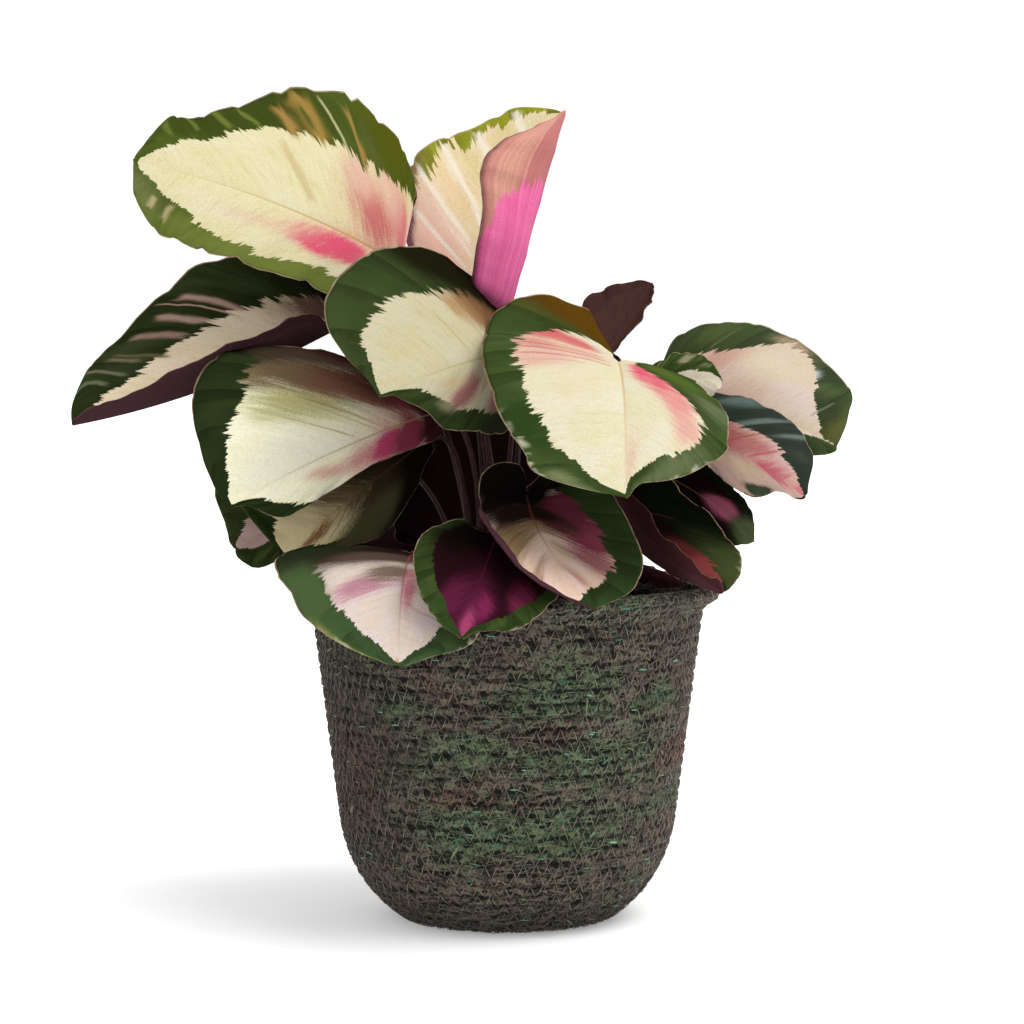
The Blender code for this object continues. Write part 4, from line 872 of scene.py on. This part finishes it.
def make_leaf(name, leaf, rows, cols):
    """The blade: a closed skin with pleats, crimped margin, sunk midrib and a rib underneath."""
    s = leaf.s
    step = np.linspace(0, 1, rows + 1)[1:-1, None]
    t = (step - 0.09 * np.sin(2 * np.pi * step)) * np.ones((1, cols))    # closer rows at both ends
    across = np.linspace(-1, 1, cols)
    u = (np.sign(across) * np.abs(across) ** 1.15)[None, :] * np.ones((rows - 1, 1))
    v = np.abs(u)
    points = leaf.surface(t, u)
    width = leaf.width
    bend = unit(np.cross(np.gradient(points, axis=1), np.gradient(points, axis=0)))
    bend *= np.sign(np.sum(bend * leaf.up, axis=-1).mean())
    half = np.where(u > 0, 0.37, 0.0) + sum(map(ord, name)) % 17 * 0.21      # no two halves alike
    panel = np.abs(np.sin(np.pi * (s["veins"] * (t - 0.10 * v) + half))) ** 0.7
    depth = s["pleat"] * v ** 0.8 * (1.1 - 0.5 * v) * np.sqrt(width)
    crimp = s["crimp"] * v ** 6 * np.sqrt(width) * sum(
        size * np.sin(2 * np.pi * (number * t + shift * half))
        for size, number, shift in ((1, 7, 1), (0.7, 12, 2.3), (0.25, 21, 3.1)))
    reach = np.where(u > 0, *(np.linalg.norm(out) for out in leaf.out[::-1])) * width * v
    rib = np.exp(-(reach / RIB_WIDE) ** 2) * (1.0 - 0.75 * t)
    lift = (panel - 0.6) * depth * 2 + crimp - RIB_SUNK * rib
    points = points + lift[..., None] * bend
    thick = EDGE_THICK + MIDDLE_THICK * (1 - v ** 3)
    top = points + thick[..., None] * bend
    low = points - (thick + RIB_PROUD * rib)[..., None] * bend
    verts = np.vstack([leaf.base[None] + 0.02 * leaf.up, top.reshape(-1, 3), leaf.tip[None],
                       low[:, 1:-1].reshape(-1, 3)])
    n = (rows - 1) * cols
    index = np.arange(n).reshape(rows - 1, cols) + 1
    under = index.copy()                    # the two skins share their margin points
    under[:, 1:-1] = np.arange((rows - 1) * (cols - 2)).reshape(rows - 1, cols - 2) + n + 2
    faces = []
    for sheet, way in ((index, 1), (under, -1)):
        quads = np.stack([sheet[:-1, :-1], sheet[1:, :-1], sheet[1:, 1:], sheet[:-1, 1:]], -1)
        foot = np.stack([0 * sheet[0, 1:], sheet[0, :-1], sheet[0, 1:]], -1)
        tip = np.stack([0 * sheet[0, 1:] + n + 1, sheet[-1, 1:], sheet[-1, :-1]], -1)
        for block in (quads.reshape(-1, 4), foot, tip):
            faces += block[:, ::way].tolist()
    place = np.stack([t, u, np.where(v < 1, 1.0, 0.5)], -1).reshape(-1, 3)
    below = np.stack([t, u, np.zeros_like(t)], -1)[:, 1:-1].reshape(-1, 3)
    blade = np.vstack([[(0, 0, 0.5)], place, [(1, 0, 0.5)], below])
    material = leaf_material("blade_" + name, PAINT.get(name, {}))
    make_piece("blade_" + name, verts, faces, "leaf_blade", material, ["leaf_" + name], blade=blade)


def make_stalk(name, leaf, skin, sides=12):
    """The stalk: a clasping sheath at its foot, a slim stem and the thicker joint under the blade."""
    path = leaf.stalk(44)
    k = np.linspace(0, 1, len(path))
    length = np.linalg.norm(np.diff(path, axis=0), axis=1).sum()
    sheath = 1 - ease(k, 0.12, 0.50)
    knee = ease(k, 1 - 15 / length, 1 - 9 / length) * (1 - ease(k, 1 - 4 / length, 1.0))
    radius = STEM + SHEATH * sheath + KNEE * knee + HEEL * np.exp(-k / 0.02)
    verts, faces = tube(path, radius, sides)
    stem = np.zeros((len(verts), 3))
    stem[:-2, 0] = np.repeat(k, sides)
    stem[-1, 0] = 1
    make_piece("stem_" + name, verts, faces, "leaf_stalk", skin, ["stalk_" + name], stem=stem)


def make_leaves():
    skin = stalk_material()
    for name, shape in LEAVES.items():
        leaf = Leaf(shape)
        behind = name.startswith("back_") and name != "back_dark"
        make_leaf(name, leaf, *((60, 41) if behind else (84, 57)))
        make_stalk(name, leaf, skin)


# ---------------------------------------------------------------- basket
COIL = 5.3                      # thickness of the seagrass rope
CORNER = (13.3, 51.0, 60.5)     # centre radius, centre height and radius of the rounded corner
INSIDE_TOP = 119.0              # where the rope's outer side ends, inside the rim


def corner(inset, first, last, count):
    """(radius, height) along the basket's rounded corner, from one angle in degrees to another."""
    middle, height, radius = CORNER
    bend = np.radians(np.linspace(first, last, count))
    return [(middle + (radius - inset) * math.cos(a), height + (radius - inset) * math.sin(a))
            for a in bend]


def basket_profile():
    """(radius, height) along the outside of the basket, from the middle of its foot to the inside
    of its rim, in steps of one millimetre."""
    knots = np.array([(0, 0), (30, 0), (44.5, 0.15), *corner(0, -57, -8, 15), (75.9, 63), (78.7, 85),
                      (81.5, 107), (84.2, 127), (85.0, 133.5), (86.2, 136.8), (89.8, 138.9),
                      (92.8, 140.8), (93.8, 143.4), (92.9, 146.2), (90.0, 147.0), (87.2, 145.4),
                      (85.2, 142.0), (82.9, 137.5), (80.9, 132.5), (80.0, 126.5), (79.0, INSIDE_TOP)])
    run = np.r_[0, np.cumsum(np.linalg.norm(np.diff(knots, axis=0), axis=1))]
    fine = np.arange(0, run[-1], 1.0)
    line = np.stack([np.interp(fine, run, knots[:, i]) for i in range(2)], -1)
    for _ in range(3):
        line[1:-1] = (line[:-2] + 2 * line[1:-1] + line[2:]) / 4
    return fine, line[:, 0], line[:, 1]


RUN, RADII, HEIGHTS = basket_profile()
END = RUN[-1]


def on_basket(turn, s, out=0.0):
    """Point of the basket's outside at a turn (0 to 1) and a run from the middle of the foot."""
    r, z = np.interp(s, RUN, RADII), np.interp(s, RUN, HEIGHTS)
    dr, dz = (np.interp(s + 1, RUN, line) - np.interp(s - 1, RUN, line) for line in (RADII, HEIGHTS))
    size = np.maximum(np.hypot(dr, dz), 1e-6)
    return polar(r + out * dz / size, turn, z - out * dr / size)


LUMPS, STRANDS, WANDER, PITS = Grain(70, 60, 1), Grain(190, 260, 2), Grain(9, 14, 3), Grain(64, 60, 9)
# Where the grass is greenest and where it is a warmer brown: (turn, height, half width in turns,
# half height in millimetres, how much).
GREEN_AREAS = (
    (0.80, 110, 0.045, 13, 1.0), (0.718, 83, 0.05, 7, 0.9), (0.83, 77, 0.05, 7, 0.9),
    (0.75, 47, 0.10, 12, 1.1), (0.655, 100, 0.025, 8, 0.7), (0.90, 104, 0.03, 7, 0.8),
    (0.97, 62, 0.05, 10, 0.7), (0.30, 95, 0.08, 10, 0.9), (0.15, 60, 0.06, 12, 0.9),
    (0.45, 50, 0.07, 10, 0.9), (0.22, 120, 0.05, 7, 0.8), (0.06, 112, 0.05, 9, 0.8),
    (0.86, 143, 0.10, 9, 0.6), (0.35, 143, 0.10, 8, 0.8))
WARM_AREAS = (
    (0.72, 62, 0.06, 6, 1.1), (0.68, 110, 0.04, 8, 1.0), (0.79, 92, 0.03, 6, 0.9),
    (0.93, 72, 0.04, 26, 0.8), (0.60, 70, 0.03, 20, 0.6), (0.40, 100, 0.06, 12, 0.8),
    (0.10, 84, 0.06, 8, 0.8))


def wandering(turn, s):
    """How far the coils wander up or down at a place, in coils."""
    return 0.16 * WANDER(turn, s / 17)


def grass_tone(turn, s):
    """How green and how warm the grass is at a place, each from 0 to 1 with ragged edges."""
    z = np.interp(s, RUN, HEIGHTS)
    for areas, own in ((GREEN_AREAS, 3), (WARM_AREAS, 8)):
        tone = 0.30 * WANDER(turn, own + z / 11) + 0.26 * LUMPS(turn, own + z / 4)
        for at, high, wide, tall, much in areas:
            off = (turn - at + 0.5) % 1.0 - 0.5
            tone = tone + much * np.exp(-(off / wide) ** 2 - ((z - high) / tall) ** 2)
        yield np.clip(tone, 0, 1)


def coil_height(turn, s):
    """How far the rope's surface stands back from the basket's outline, and how open the gap
    between two coils is there."""
    row = s / COIL - turn + wandering(turn, s)
    bulge = (1 - np.abs(2 * (row % 1.0) - 1) ** 2.4) ** 0.6
    level = np.floor(row + 0.5)
    gap = ease(PITS(turn + 0.031 * level, level), -0.1, 0.75)
    lumps = LUMPS(turn + 0.013 * row, np.floor(row))
    twist = STRANDS(turn + 0.004 * row, row * 5.0)
    height = (-(0.55 + 1.5 * gap) * (1 - bulge) - 0.5 + 0.30 * lumps * bulge
              + 0.36 * twist * (0.4 + 0.6 * bulge))
    return height, gap * (1 - bulge)


def make_rope(around=384, wall=4.5):
    """The coiled rope itself, one closed shell with a plain lining side."""
    s = np.r_[np.arange(1.5, 44, 1.75), np.arange(44, END - 1, COIL / 6)]
    s2, turn2 = np.meshgrid(s, turns(around), indexing="ij")
    height, gap = coil_height(turn2, s2)
    outer = on_basket(turn2, s2, height)
    outer[..., 2] = np.maximum(outer[..., 2], 0)
    inner = np.array([(77.5, INSIDE_TOP), (72.0, 56), *corner(wall, -12, -56, 7), (42, wall), (20, wall)])
    rings = np.concatenate([outer, polar(inner[:, :1], turns(around), inner[:, 1:])])
    verts, faces = closed_shell(rings, (0, 0, 0.8), (0, 0, wall))
    coil, tone = np.zeros((2, len(verts), 3))
    outside = s2.size
    coil[:outside] = np.stack([s2 / COIL - turn2, s2, gap], -1).reshape(-1, 3)
    coil[outside:-2] = (20, 100, 0)         # the lining side is coloured like a middle coil
    tone[:outside, 0], tone[:outside, 1] = (part.ravel() for part in grass_tone(turn2, s2))
    make_piece("basket_rope", verts, faces, "seagrass", rope_material(), ["basket"], coil=coil, tone=tone)


def make_stitching():
    """The thread that zigzags over every coil and ties it to the next."""
    parts = []
    stitch, sides = 5.2, 4
    for row in range(5, int((END - 14) / COIL)):
        r = np.interp((row + 0.5) * COIL, RUN, RADII)
        steps = int(2 * np.pi * r / stitch) * 6
        k = np.arange(steps)
        apex = k % 3 == 0
        turn = (k + apex * rng.normal(0, 0.30, steps)) / steps
        swing = np.array([0.0, 0.33, 0.67, 1.0, 0.67, 0.33])[k % 6]
        s = (row + swing * 1.16 - 0.08 + turn + wandering(turn, row * COIL)) * COIL
        s += rng.normal(0, 0.30, steps) * apex
        s = np.clip(s, 8, END - 4)
        path = on_basket(turn, s, np.where(apex, -0.75, 0.14) + rng.normal(0, 0.06, steps))
        path[:, 2] = np.maximum(path[:, 2], 0.3)
        verts, faces = tube(path, 0.21 + rng.normal(0, 0.02, steps), sides, (0.0, 0.0, 1.0), 0.8)
        green, warm = grass_tone(turn, s)
        field = np.zeros((len(verts), 3))
        own = rng.uniform(0, 1, steps // 3).repeat(3)
        field[:-2] = np.stack([warm - green, s, own], -1).repeat(sides, axis=0)
        parts.append((verts, faces, field))
    verts, faces, field = join(parts)
    make_piece("basket_stitching", verts, faces, "seagrass", thread_material(), tint=field)


def make_fibres(count=2900, on_rim=420):
    """Flat bits of dyed grass caught under the stitching, and loose ends along the rim."""
    parts = []
    rim, teal, straw = END - 34, 0.070, 0.088            # where the rim starts; shares of the bright bits
    for number in range(count):
        turn = rng.uniform(0, 1)
        s = rng.uniform(rim, END - 8) if number < on_rim else rng.uniform(48, rim)
        green, warm = (float(g) for g in grass_tone(np.array(turn), np.array(s)))
        kind = rng.uniform() - 0.05 * (green - 0.4)
        if kind < teal:
            tone, long, width = 1.0, rng.uniform(1.8, 5.2), rng.uniform(0.60, 1.55)
        elif kind < straw:
            tone, long, width = 0.75, rng.uniform(1.5, 4.5), rng.uniform(0.2, 0.4)
        else:
            tone, long, width = rng.uniform(0, 0.5), rng.gamma(4.0, 1.1) + 1.5, rng.uniform(0.35, 0.85)
        if number < on_rim:
            long, width = long * 1.4 + 2.0, width * 1.1
        tilt = rng.normal(0, 0.22) if rng.uniform() < 0.85 else rng.normal(0, 0.9)
        tilt *= 0.4 if tone == 1 else 1
        row = round(s / COIL - turn - 0.5)
        s = (row + 0.5 + turn + rng.normal(0, 0.26)) * COIL
        r = max(np.interp(s, RUN, RADII), 20)
        k = np.linspace(-0.5, 0.5, 5)
        lift = rng.uniform(-0.35, 0.05) + rng.uniform(0.2, 1.0) * k ** 2 * rng.choice(
            [0, 1, 3.0], p=[0.6, 0.34, 0.06])
        path = on_basket(turn + k * long * math.cos(tilt) / (2 * np.pi * r),
                         s + k * long * math.sin(tilt), lift)
        verts, faces = tube(path, width * np.array([0.25, 0.85, 1.0, 0.9, 0.3]), 4, (0, 0, 1), 0.28)
        parts.append((verts, faces, (tone, green - warm, rng.uniform())))
    verts, faces, field = join(parts)
    make_piece("basket_fibres", verts, faces, "seagrass", fibre_material(), tint=field)


def rope_material():
    s = Shader("seagrass_rope", Roughness=0.8, Specular_IOR_Level=0.25)
    row, run, gap = s.attribute("coil")
    greener, warmer, _ = s.attribute("tone")
    x, y, z = s.split(s.place())
    strand = s.noise(s.vector(x * 0.35, y * 0.35, row * 7.0), 1.0, 4.0, 0.7)
    thread = s.noise(s.vector(x * 2.2, y * 2.2, row * 9.0), 1.0, 3.0, 0.7)
    cells = s.vector(x * 0.30, y * 0.30, row * 3.5 + strand)
    own, other, _ = s.split(s.node("TexVoronoi", {}, {"Vector": cells, "Scale": 1.0}, "Color"))
    pits = s.noise(s.vector(x * 0.75, y * 0.75, z * 0.85), 1.0, 2.0, 0.7)
    light = s.smooth(strand * 0.38 + thread * 0.40 + pits * 0.22 + (own - 0.5) * 0.28, 0.37, 0.64)
    brown, warm, green, low = (s.mix(light, dark, bright) for dark, bright in (
        ((0.007, 0.006, 0.005), (0.168, 0.138, 0.104)), ((0.016, 0.009, 0.008), (0.185, 0.098, 0.078)),
        ((0.005, 0.009, 0.005), (0.150, 0.200, 0.105)), ((0.010, 0.008, 0.007), (0.075, 0.058, 0.046))))
    colour = s.over(brown, warm, warmer, 0.25, 0.8, 0.6)
    colour = s.over(colour, green, greener + (other - 0.5) * 0.4, 0.10, 0.60)
    colour = s.over(colour, (0.075, 0.16, 0.095), greener * 0.3 + own, 1.06, 1.14, s.smooth(other, 0.3, 0.6))
    colour = s.over(colour, (0.005, 0.005, 0.004), pits, 0.49, 0.37, 0.80)
    colour = s.over(colour, (0.30, 0.32, 0.19), pits * 0.5 + thread * 0.5, 0.60, 0.68,
                    s.smooth(greener, 0.0, 0.6) * 0.6)
    colour = s.over(colour, low, run, 74.0, 58.0, 0.7)
    # painted shade: near black in the open gaps between coils
    colour = s.over(colour, (0.003, 0.004, 0.003), gap, 0.10, 0.45, 0.9)
    # painted shade: darker on the basket's left side, away from the sun
    colour = s.over(colour, (0.014, 0.009, 0.008), x, -15.0, -80.0, 0.62)
    s.set(Base_Color=colour, Roughness=0.62 + strand * 0.3)
    s.bump(strand + thread * 0.7, 0.9)
    return s.material


def thread_material():
    s = Shader("stitching_thread", Roughness=0.7, Specular_IOR_Level=0.3)
    tint, run, own = s.attribute("tint")
    hair = s.noise(s.place(), 2.2, 3.0)
    x, _, _ = s.split(s.place())
    colour = s.over((0.200, 0.200, 0.140), (0.235, 0.190, 0.160), tint, -0.5, 0.0)
    # the fifth entry below is painted shade: darker on the basket's left side, away from the sun
    for overlay, value, low, high, strength in (
            ((0.300, 0.160, 0.125), tint, 0.05, 0.6, 1.0), ((0.36, 0.31, 0.26), own, 0.6, 0.95, 0.5),
            ((0.055, 0.050, 0.042), own, 0.45, 0.15, 0.55), ((0.060, 0.050, 0.042), hair, 0.35, 0.75, 0.6),
            ((0.050, 0.036, 0.032), x, -25.0, -88.0, 0.55), ((0.060, 0.046, 0.038), run, 76.0, 58.0, 0.6)):
        colour = s.over(colour, overlay, value, low, high, strength)
    s.set(Base_Color=colour, Roughness=0.55 + hair * 0.3)
    s.bump(hair, 0.2, 0.7)
    return s.material


def fibre_material():
    s = Shader("loose_fibres", Roughness=0.55, Specular_IOR_Level=0.4)
    kind, green, own = s.attribute("tint")
    hair = s.noise(s.place(), 1.2, 3.0)
    light = own ** 1.5
    colour = s.over(s.mix(light, (0.030, 0.026, 0.020), (0.230, 0.190, 0.145)),
                    s.mix(light, (0.022, 0.036, 0.018), (0.270, 0.330, 0.175)), green, -0.2, 0.5)
    colour = s.over(colour, (0.42, 0.36, 0.10), kind, 0.60, 0.70)
    colour = s.over(colour, s.mix(own, (0.045, 0.19, 0.115), (0.24, 0.56, 0.38)), kind, 0.85, 0.95)
    colour = s.over(colour, (0.02, 0.03, 0.02), hair, 0.45, 0.8, 0.5)
    s.set(Base_Color=colour, Roughness=0.45 + hair * 0.3)
    s.bump(hair, 0.3, 0.8)
    return s.material


# ---------------------------------------------------------------- what stands in the basket
FLOOR = 5.4                     # height of the lining's floor
SOIL_TOP, SOIL_FOOT = 113.4, 8.3
ROOT_FOOT = 112.6               # where the rootstock comes out of the potting mix


def make_liner(around=180, rows=26):
    """Thin film, loosely creased, from the basket's floor to below its rim."""
    wall = [(np.interp(q, RUN, RADII) - COIL, max(np.interp(q, RUN, HEIGHTS), FLOOR))
            for q in np.linspace(38, 190, rows)]
    wall = np.array([(36.0, FLOOR)] + [(r, z) for r, z in wall if z < 129][1:] + [(79.6, 131.6)])
    radius, height = wall[:, :1], wall[:, 1:]
    turn, level = np.meshgrid(turns(around), np.linspace(0, 5, len(wall)))
    dent = 1.7 * np.abs(Grain(26, 8, 5)(turn, level)) * ease(height, 8, 30)
    outer, inner = (polar(radius - dent - inset, turn, height + inset * (height < 6))
                    for inset in (0.0, 0.2))
    rings = np.concatenate([outer, inner[::-1]])
    verts, faces = closed_shell(rings, (0, 0, FLOOR - 0.3), (0, 0, FLOOR + 0.2))
    s = Shader("lining_film", Roughness=0.3)
    mark = s.noise(s.place(), 0.12, 3.0)
    s.set(Base_Color=s.mix(mark, (0.018, 0.018, 0.020), (0.045, 0.045, 0.048)),
          Roughness=0.22 + mark * 0.25)
    s.bump(mark, 0.5, 0.5)
    make_piece("lining", verts, faces, "liner_film", s.material, ["liner"])


def make_pot(foot=6.4, lip=113.4, top=119.4, sides=128):
    """The nursery pot: moulded wall with a stepped lip and a rolled edge."""
    def r(z):
        return 41.0 + 21.0 * (z - foot) / 113.0

    profile = np.array([
        (39.5, foot), (r(foot) - 0.2, foot + 0.5), (r(30), 30), (r(60), 60), (r(60) + 0.7, 61),
        (r(64) + 0.7, 64), (r(65), 65), (r(90), 90), (r(lip), lip - 0.4), (r(lip) + 2.6, lip),
        (r(lip) + 3.0, lip + 0.5), (r(top) + 2.9, top - 0.8), (r(top) + 2.5, top), (r(top) + 1.9, top + 0.1),
        (r(top) - 0.8, top), (r(top) - 1.4, top - 0.7), (r(80) - 1.4, 80), (r(9) - 1.4, 9.0), (38, 7.8)])
    rings = polar(profile[:, :1], turns(sides), profile[:, 1:])
    verts, faces = closed_shell(rings, (0, 0, foot), (0, 0, 7.8))
    s = Shader("black_moulded_plastic", Roughness=0.4)
    dust = s.noise(s.place(), 0.09, 4.0)
    scuff = s.noise(s.place(0.4, 0.4, 2.0))
    s.set(Base_Color=s.over((0.012, 0.012, 0.013), (0.055, 0.048, 0.040), dust, 0.45, 0.75, 0.6),
          Roughness=0.30 + scuff * 0.25)
    s.bump(scuff, 0.1, 0.4)
    make_piece("pot", verts, faces, "pot_plastic", s.material, ["nursery_pot"])


def make_soil(around=150, rings=30, crumbs=900):
    """Potting mix: an uneven bed with crumbs, bark and white perlite on it."""
    rough, lumps = Grain(120, 60, 6), Grain(40, 22, 7)
    r, turn = np.meshgrid(np.linspace(2, 59.4, rings), turns(around), indexing="ij")
    z = SOIL_TOP - 2.0 * ease(r, 30, 59) + 0.9 * lumps(turn, r / 3.5) + 0.6 * rough(turn, r / 1.4)
    sunk = np.array([(20, SOIL_FOOT), (39.6, 9.0), (44, 60), (59.0, 104.0)])
    rows = np.concatenate([polar(sunk[:, :1], turns(around), sunk[:, 1:]), polar(r, turn, z)[::-1]])
    verts, faces = closed_shell(rows, (0, 0, SOIL_FOOT), (0, 0, SOIL_TOP + 0.2))
    parts = [(verts, faces, (0.0, 0.0, 0.0))]
    corners = np.array([(1, 0, 0), (0, 1, 0), (-1, 0, 0), (0, -1, 0), (0, 0, 1), (0, 0, -1)], float)
    sides = [[0, 1, 4], [1, 2, 4], [2, 3, 4], [3, 0, 4], [1, 0, 5], [2, 1, 5], [3, 2, 5], [0, 3, 5]]
    for _ in range(crumbs):
        r, k = 26 + 32 * math.sqrt(rng.uniform(0, 1)), rng.uniform(0, 1)
        kind = rng.choice([0.1, 0.5, 1.0], p=[0.62, 0.28, 0.10])
        size = rng.uniform(0.5, 1.5) if kind < 1 else rng.uniform(0.7, 1.4)
        shape = np.array([1.0, rng.uniform(0.5, 1), rng.uniform(0.4, 0.9)])
        if kind == 0.5:                                  # a chip of bark
            shape, size = np.array([1.6, 0.7, 0.35]), rng.uniform(1.0, 2.2)
        way = rng.uniform(0, 6.3)
        c, d = math.cos(way), math.sin(way)
        crumb = corners * shape * size * rng.uniform(0.75, 1.2, (6, 1))
        crumb = crumb @ np.array([(c, d, 0), (-d, c, 0), (0, 0, 1)])
        height = SOIL_TOP + 0.2 - 2.0 * ease(np.array(r), 30, 59) + size * 0.25
        parts.append((crumb + polar(r, k, height), sides, (kind, 0, rng.uniform())))
    verts, faces, field = join(parts)
    s = Shader("potting_mix", Roughness=0.95)
    kind, _, own = s.attribute("tint")
    grit = s.noise(s.place(), 0.9, 4.0, 0.7)
    colour = s.over((0.008, 0.005, 0.004), (0.055, 0.034, 0.022), grit, 0.35, 0.7)
    colour = s.over(colour, s.mix(own, (0.07, 0.030, 0.015), (0.13, 0.065, 0.035)), kind, 0.3, 0.45)
    colour = s.over(colour, s.mix(grit, (0.45, 0.43, 0.38), (0.70, 0.68, 0.62)), kind, 0.8, 0.95)
    s.set(Base_Color=colour, Roughness=0.8 + grit * 0.2)
    s.bump(grit, 0.8, 0.8)
    make_piece("potting_mix_bed", verts, faces, "potting_mix", s.material, ["potting_soil"], tint=field)


def make_rootstock(around=96, rings=22):
    """The clump that the stalks grow from: a low knobbly mound wrapped in dry scales."""
    turn, rise = np.meshgrid(turns(around), np.linspace(0, 1, rings))
    knob = Grain(14, 10, 8)(turn, rise * 7)
    r = 24.0 * np.sqrt(np.clip(1 - rise ** 3.2, 0.02, 1)) * (1 + 0.07 * knob)
    z = ROOT_FOOT + 13.4 * rise + 0.6 * knob * (rise > 0.6)
    verts, faces = closed_shell(polar(r, turn, z), (0, 0, ROOT_FOOT), (0, 0, STALK_Z + 0.1))
    parts = [(verts, faces, (0.0, 0.0, 0.0))]
    for shape in LEAVES.values():
        x, y = shape["root"]
        for _ in range(3):                               # dry scales round the foot of a stalk
            lean, far = rng.uniform(0, 6.28), rng.uniform(2.0, 2.9)
            c, d = math.cos(lean), math.sin(lean)
            path = [(x + far * c * (1 - 0.25 * q), y + far * d * (1 - 0.25 * q),
                     STALK_Z - 1.5 + rng.uniform(7, 15) * q) for q in np.linspace(0, 1, 6)]
            v, f = tube(path, 1.5 * np.array([1, 1.05, 0.95, 0.7, 0.4, 0.08]), 6, (c, d, 0.1), 0.35)
            parts.append((v, f, (1.0, 0.0, rng.uniform())))
    verts, faces, field = join(parts)
    s = Shader("rootstock_skin", Roughness=0.8)
    kind, _, own = s.attribute("tint")
    bark = s.noise(s.place(0.5, 0.5, 1.8), 1.0, 4.0)
    skin = s.mix(bark, (0.035, 0.018, 0.014), (0.16, 0.10, 0.06))
    scale = s.mix(bark * 0.6, s.mix(own, (0.16, 0.09, 0.05), (0.09, 0.03, 0.03)), (0.03, 0.015, 0.01))
    s.set(Base_Color=s.mix(kind, skin, scale), Roughness=0.7 + bark * 0.25)
    s.bump(bark, 0.8, 0.7)
    make_piece("rootstock_clump", verts, faces, "rootstock", s.material, ["crown"], tint=field)


# ---------------------------------------------------------------- floor, light and camera
FLOOR_HALF = 14                                          # metres
SUN_WAY, SUN_STRENGTH, SUN_WIDTH = (-0.42, 0.16, -1.0), 2.2, 50
# the sky's brightness falls from the third number to the fourth between two heights of the view
SKY = (("From Min", 0.13), ("From Max", 0.6), ("To Min", 1.05), ("To Max", 0.72))
CAMERA_PLACE, CAMERA_DIP, LENS = (0.002, -1.25, 0.25), 3.35, 100.79


def shown(name, data):
    """An object of the studio, put into the scene."""
    made = bpy.data.objects.new(name, data)
    bpy.context.scene.collection.objects.link(made)
    return made


def make_floor():
    mesh = bpy.data.meshes.new("studio_floor")
    corners = [(x * FLOOR_HALF, y * FLOOR_HALF, 0) for x, y in ((-1, -1), (1, -1), (1, 1), (-1, 1))]
    mesh.from_pydata(corners, [], [[0, 1, 2, 3]])
    s = Shader("pale_floor", Roughness=0.9, Emission_Color=(1, 1, 1, 1), Emission_Strength=0.25)
    grain = s.noise(s.place(), 0.01)
    s.set(Base_Color=s.mix(grain, (0.93, 0.93, 0.93), (0.95, 0.95, 0.95)))
    mesh.materials.append(s.material)
    floor = shown("studio_floor", mesh)
    floor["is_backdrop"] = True


def make_light():
    """White all round at eye level, dimmer overhead, and one broad sun from the right."""
    world = bpy.data.worlds.new("studio_light")
    bpy.context.scene.world = world
    world.use_nodes = True
    tree = world.node_tree
    sky = tree.nodes["Background"]
    way, parts, fade = (tree.nodes.new("ShaderNode" + kind)
                        for kind in ("TexCoord", "SeparateXYZ", "MapRange"))
    fade.interpolation_type = "SMOOTHSTEP"
    for socket, value in SKY:
        fade.inputs[socket].default_value = value
    tree.links.new(way.outputs["Generated"], parts.inputs[0])
    tree.links.new(parts.outputs["Z"], fade.inputs["Value"])
    tree.links.new(fade.outputs["Result"], sky.inputs["Strength"])
    sky.inputs["Color"].default_value = (1, 1, 1, 1)
    lamp = bpy.data.lights.new("sun", "SUN")
    lamp.energy, lamp.angle = SUN_STRENGTH, math.radians(SUN_WIDTH)
    shown("sun", lamp).rotation_euler = Vector(SUN_WAY).to_track_quat("-Z", "Y").to_euler()


def make_camera():
    lens = bpy.data.cameras.new("camera")
    lens.sensor_width, lens.lens = 36.0, LENS
    camera = shown("camera", lens)
    camera.location = CAMERA_PLACE
    camera.rotation_euler = (math.radians(90 - CAMERA_DIP), 0, 0)
    bpy.context.scene.camera = camera
    bpy.context.scene.view_settings.view_transform = "Standard"


for make in (make_rope, make_stitching, make_fibres, make_liner, make_pot, make_soil, make_rootstock,
             make_leaves, make_floor, make_light, make_camera):
    make()

[[[float(c) for c in corner] for corner in box] for box in (solid_box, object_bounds())]
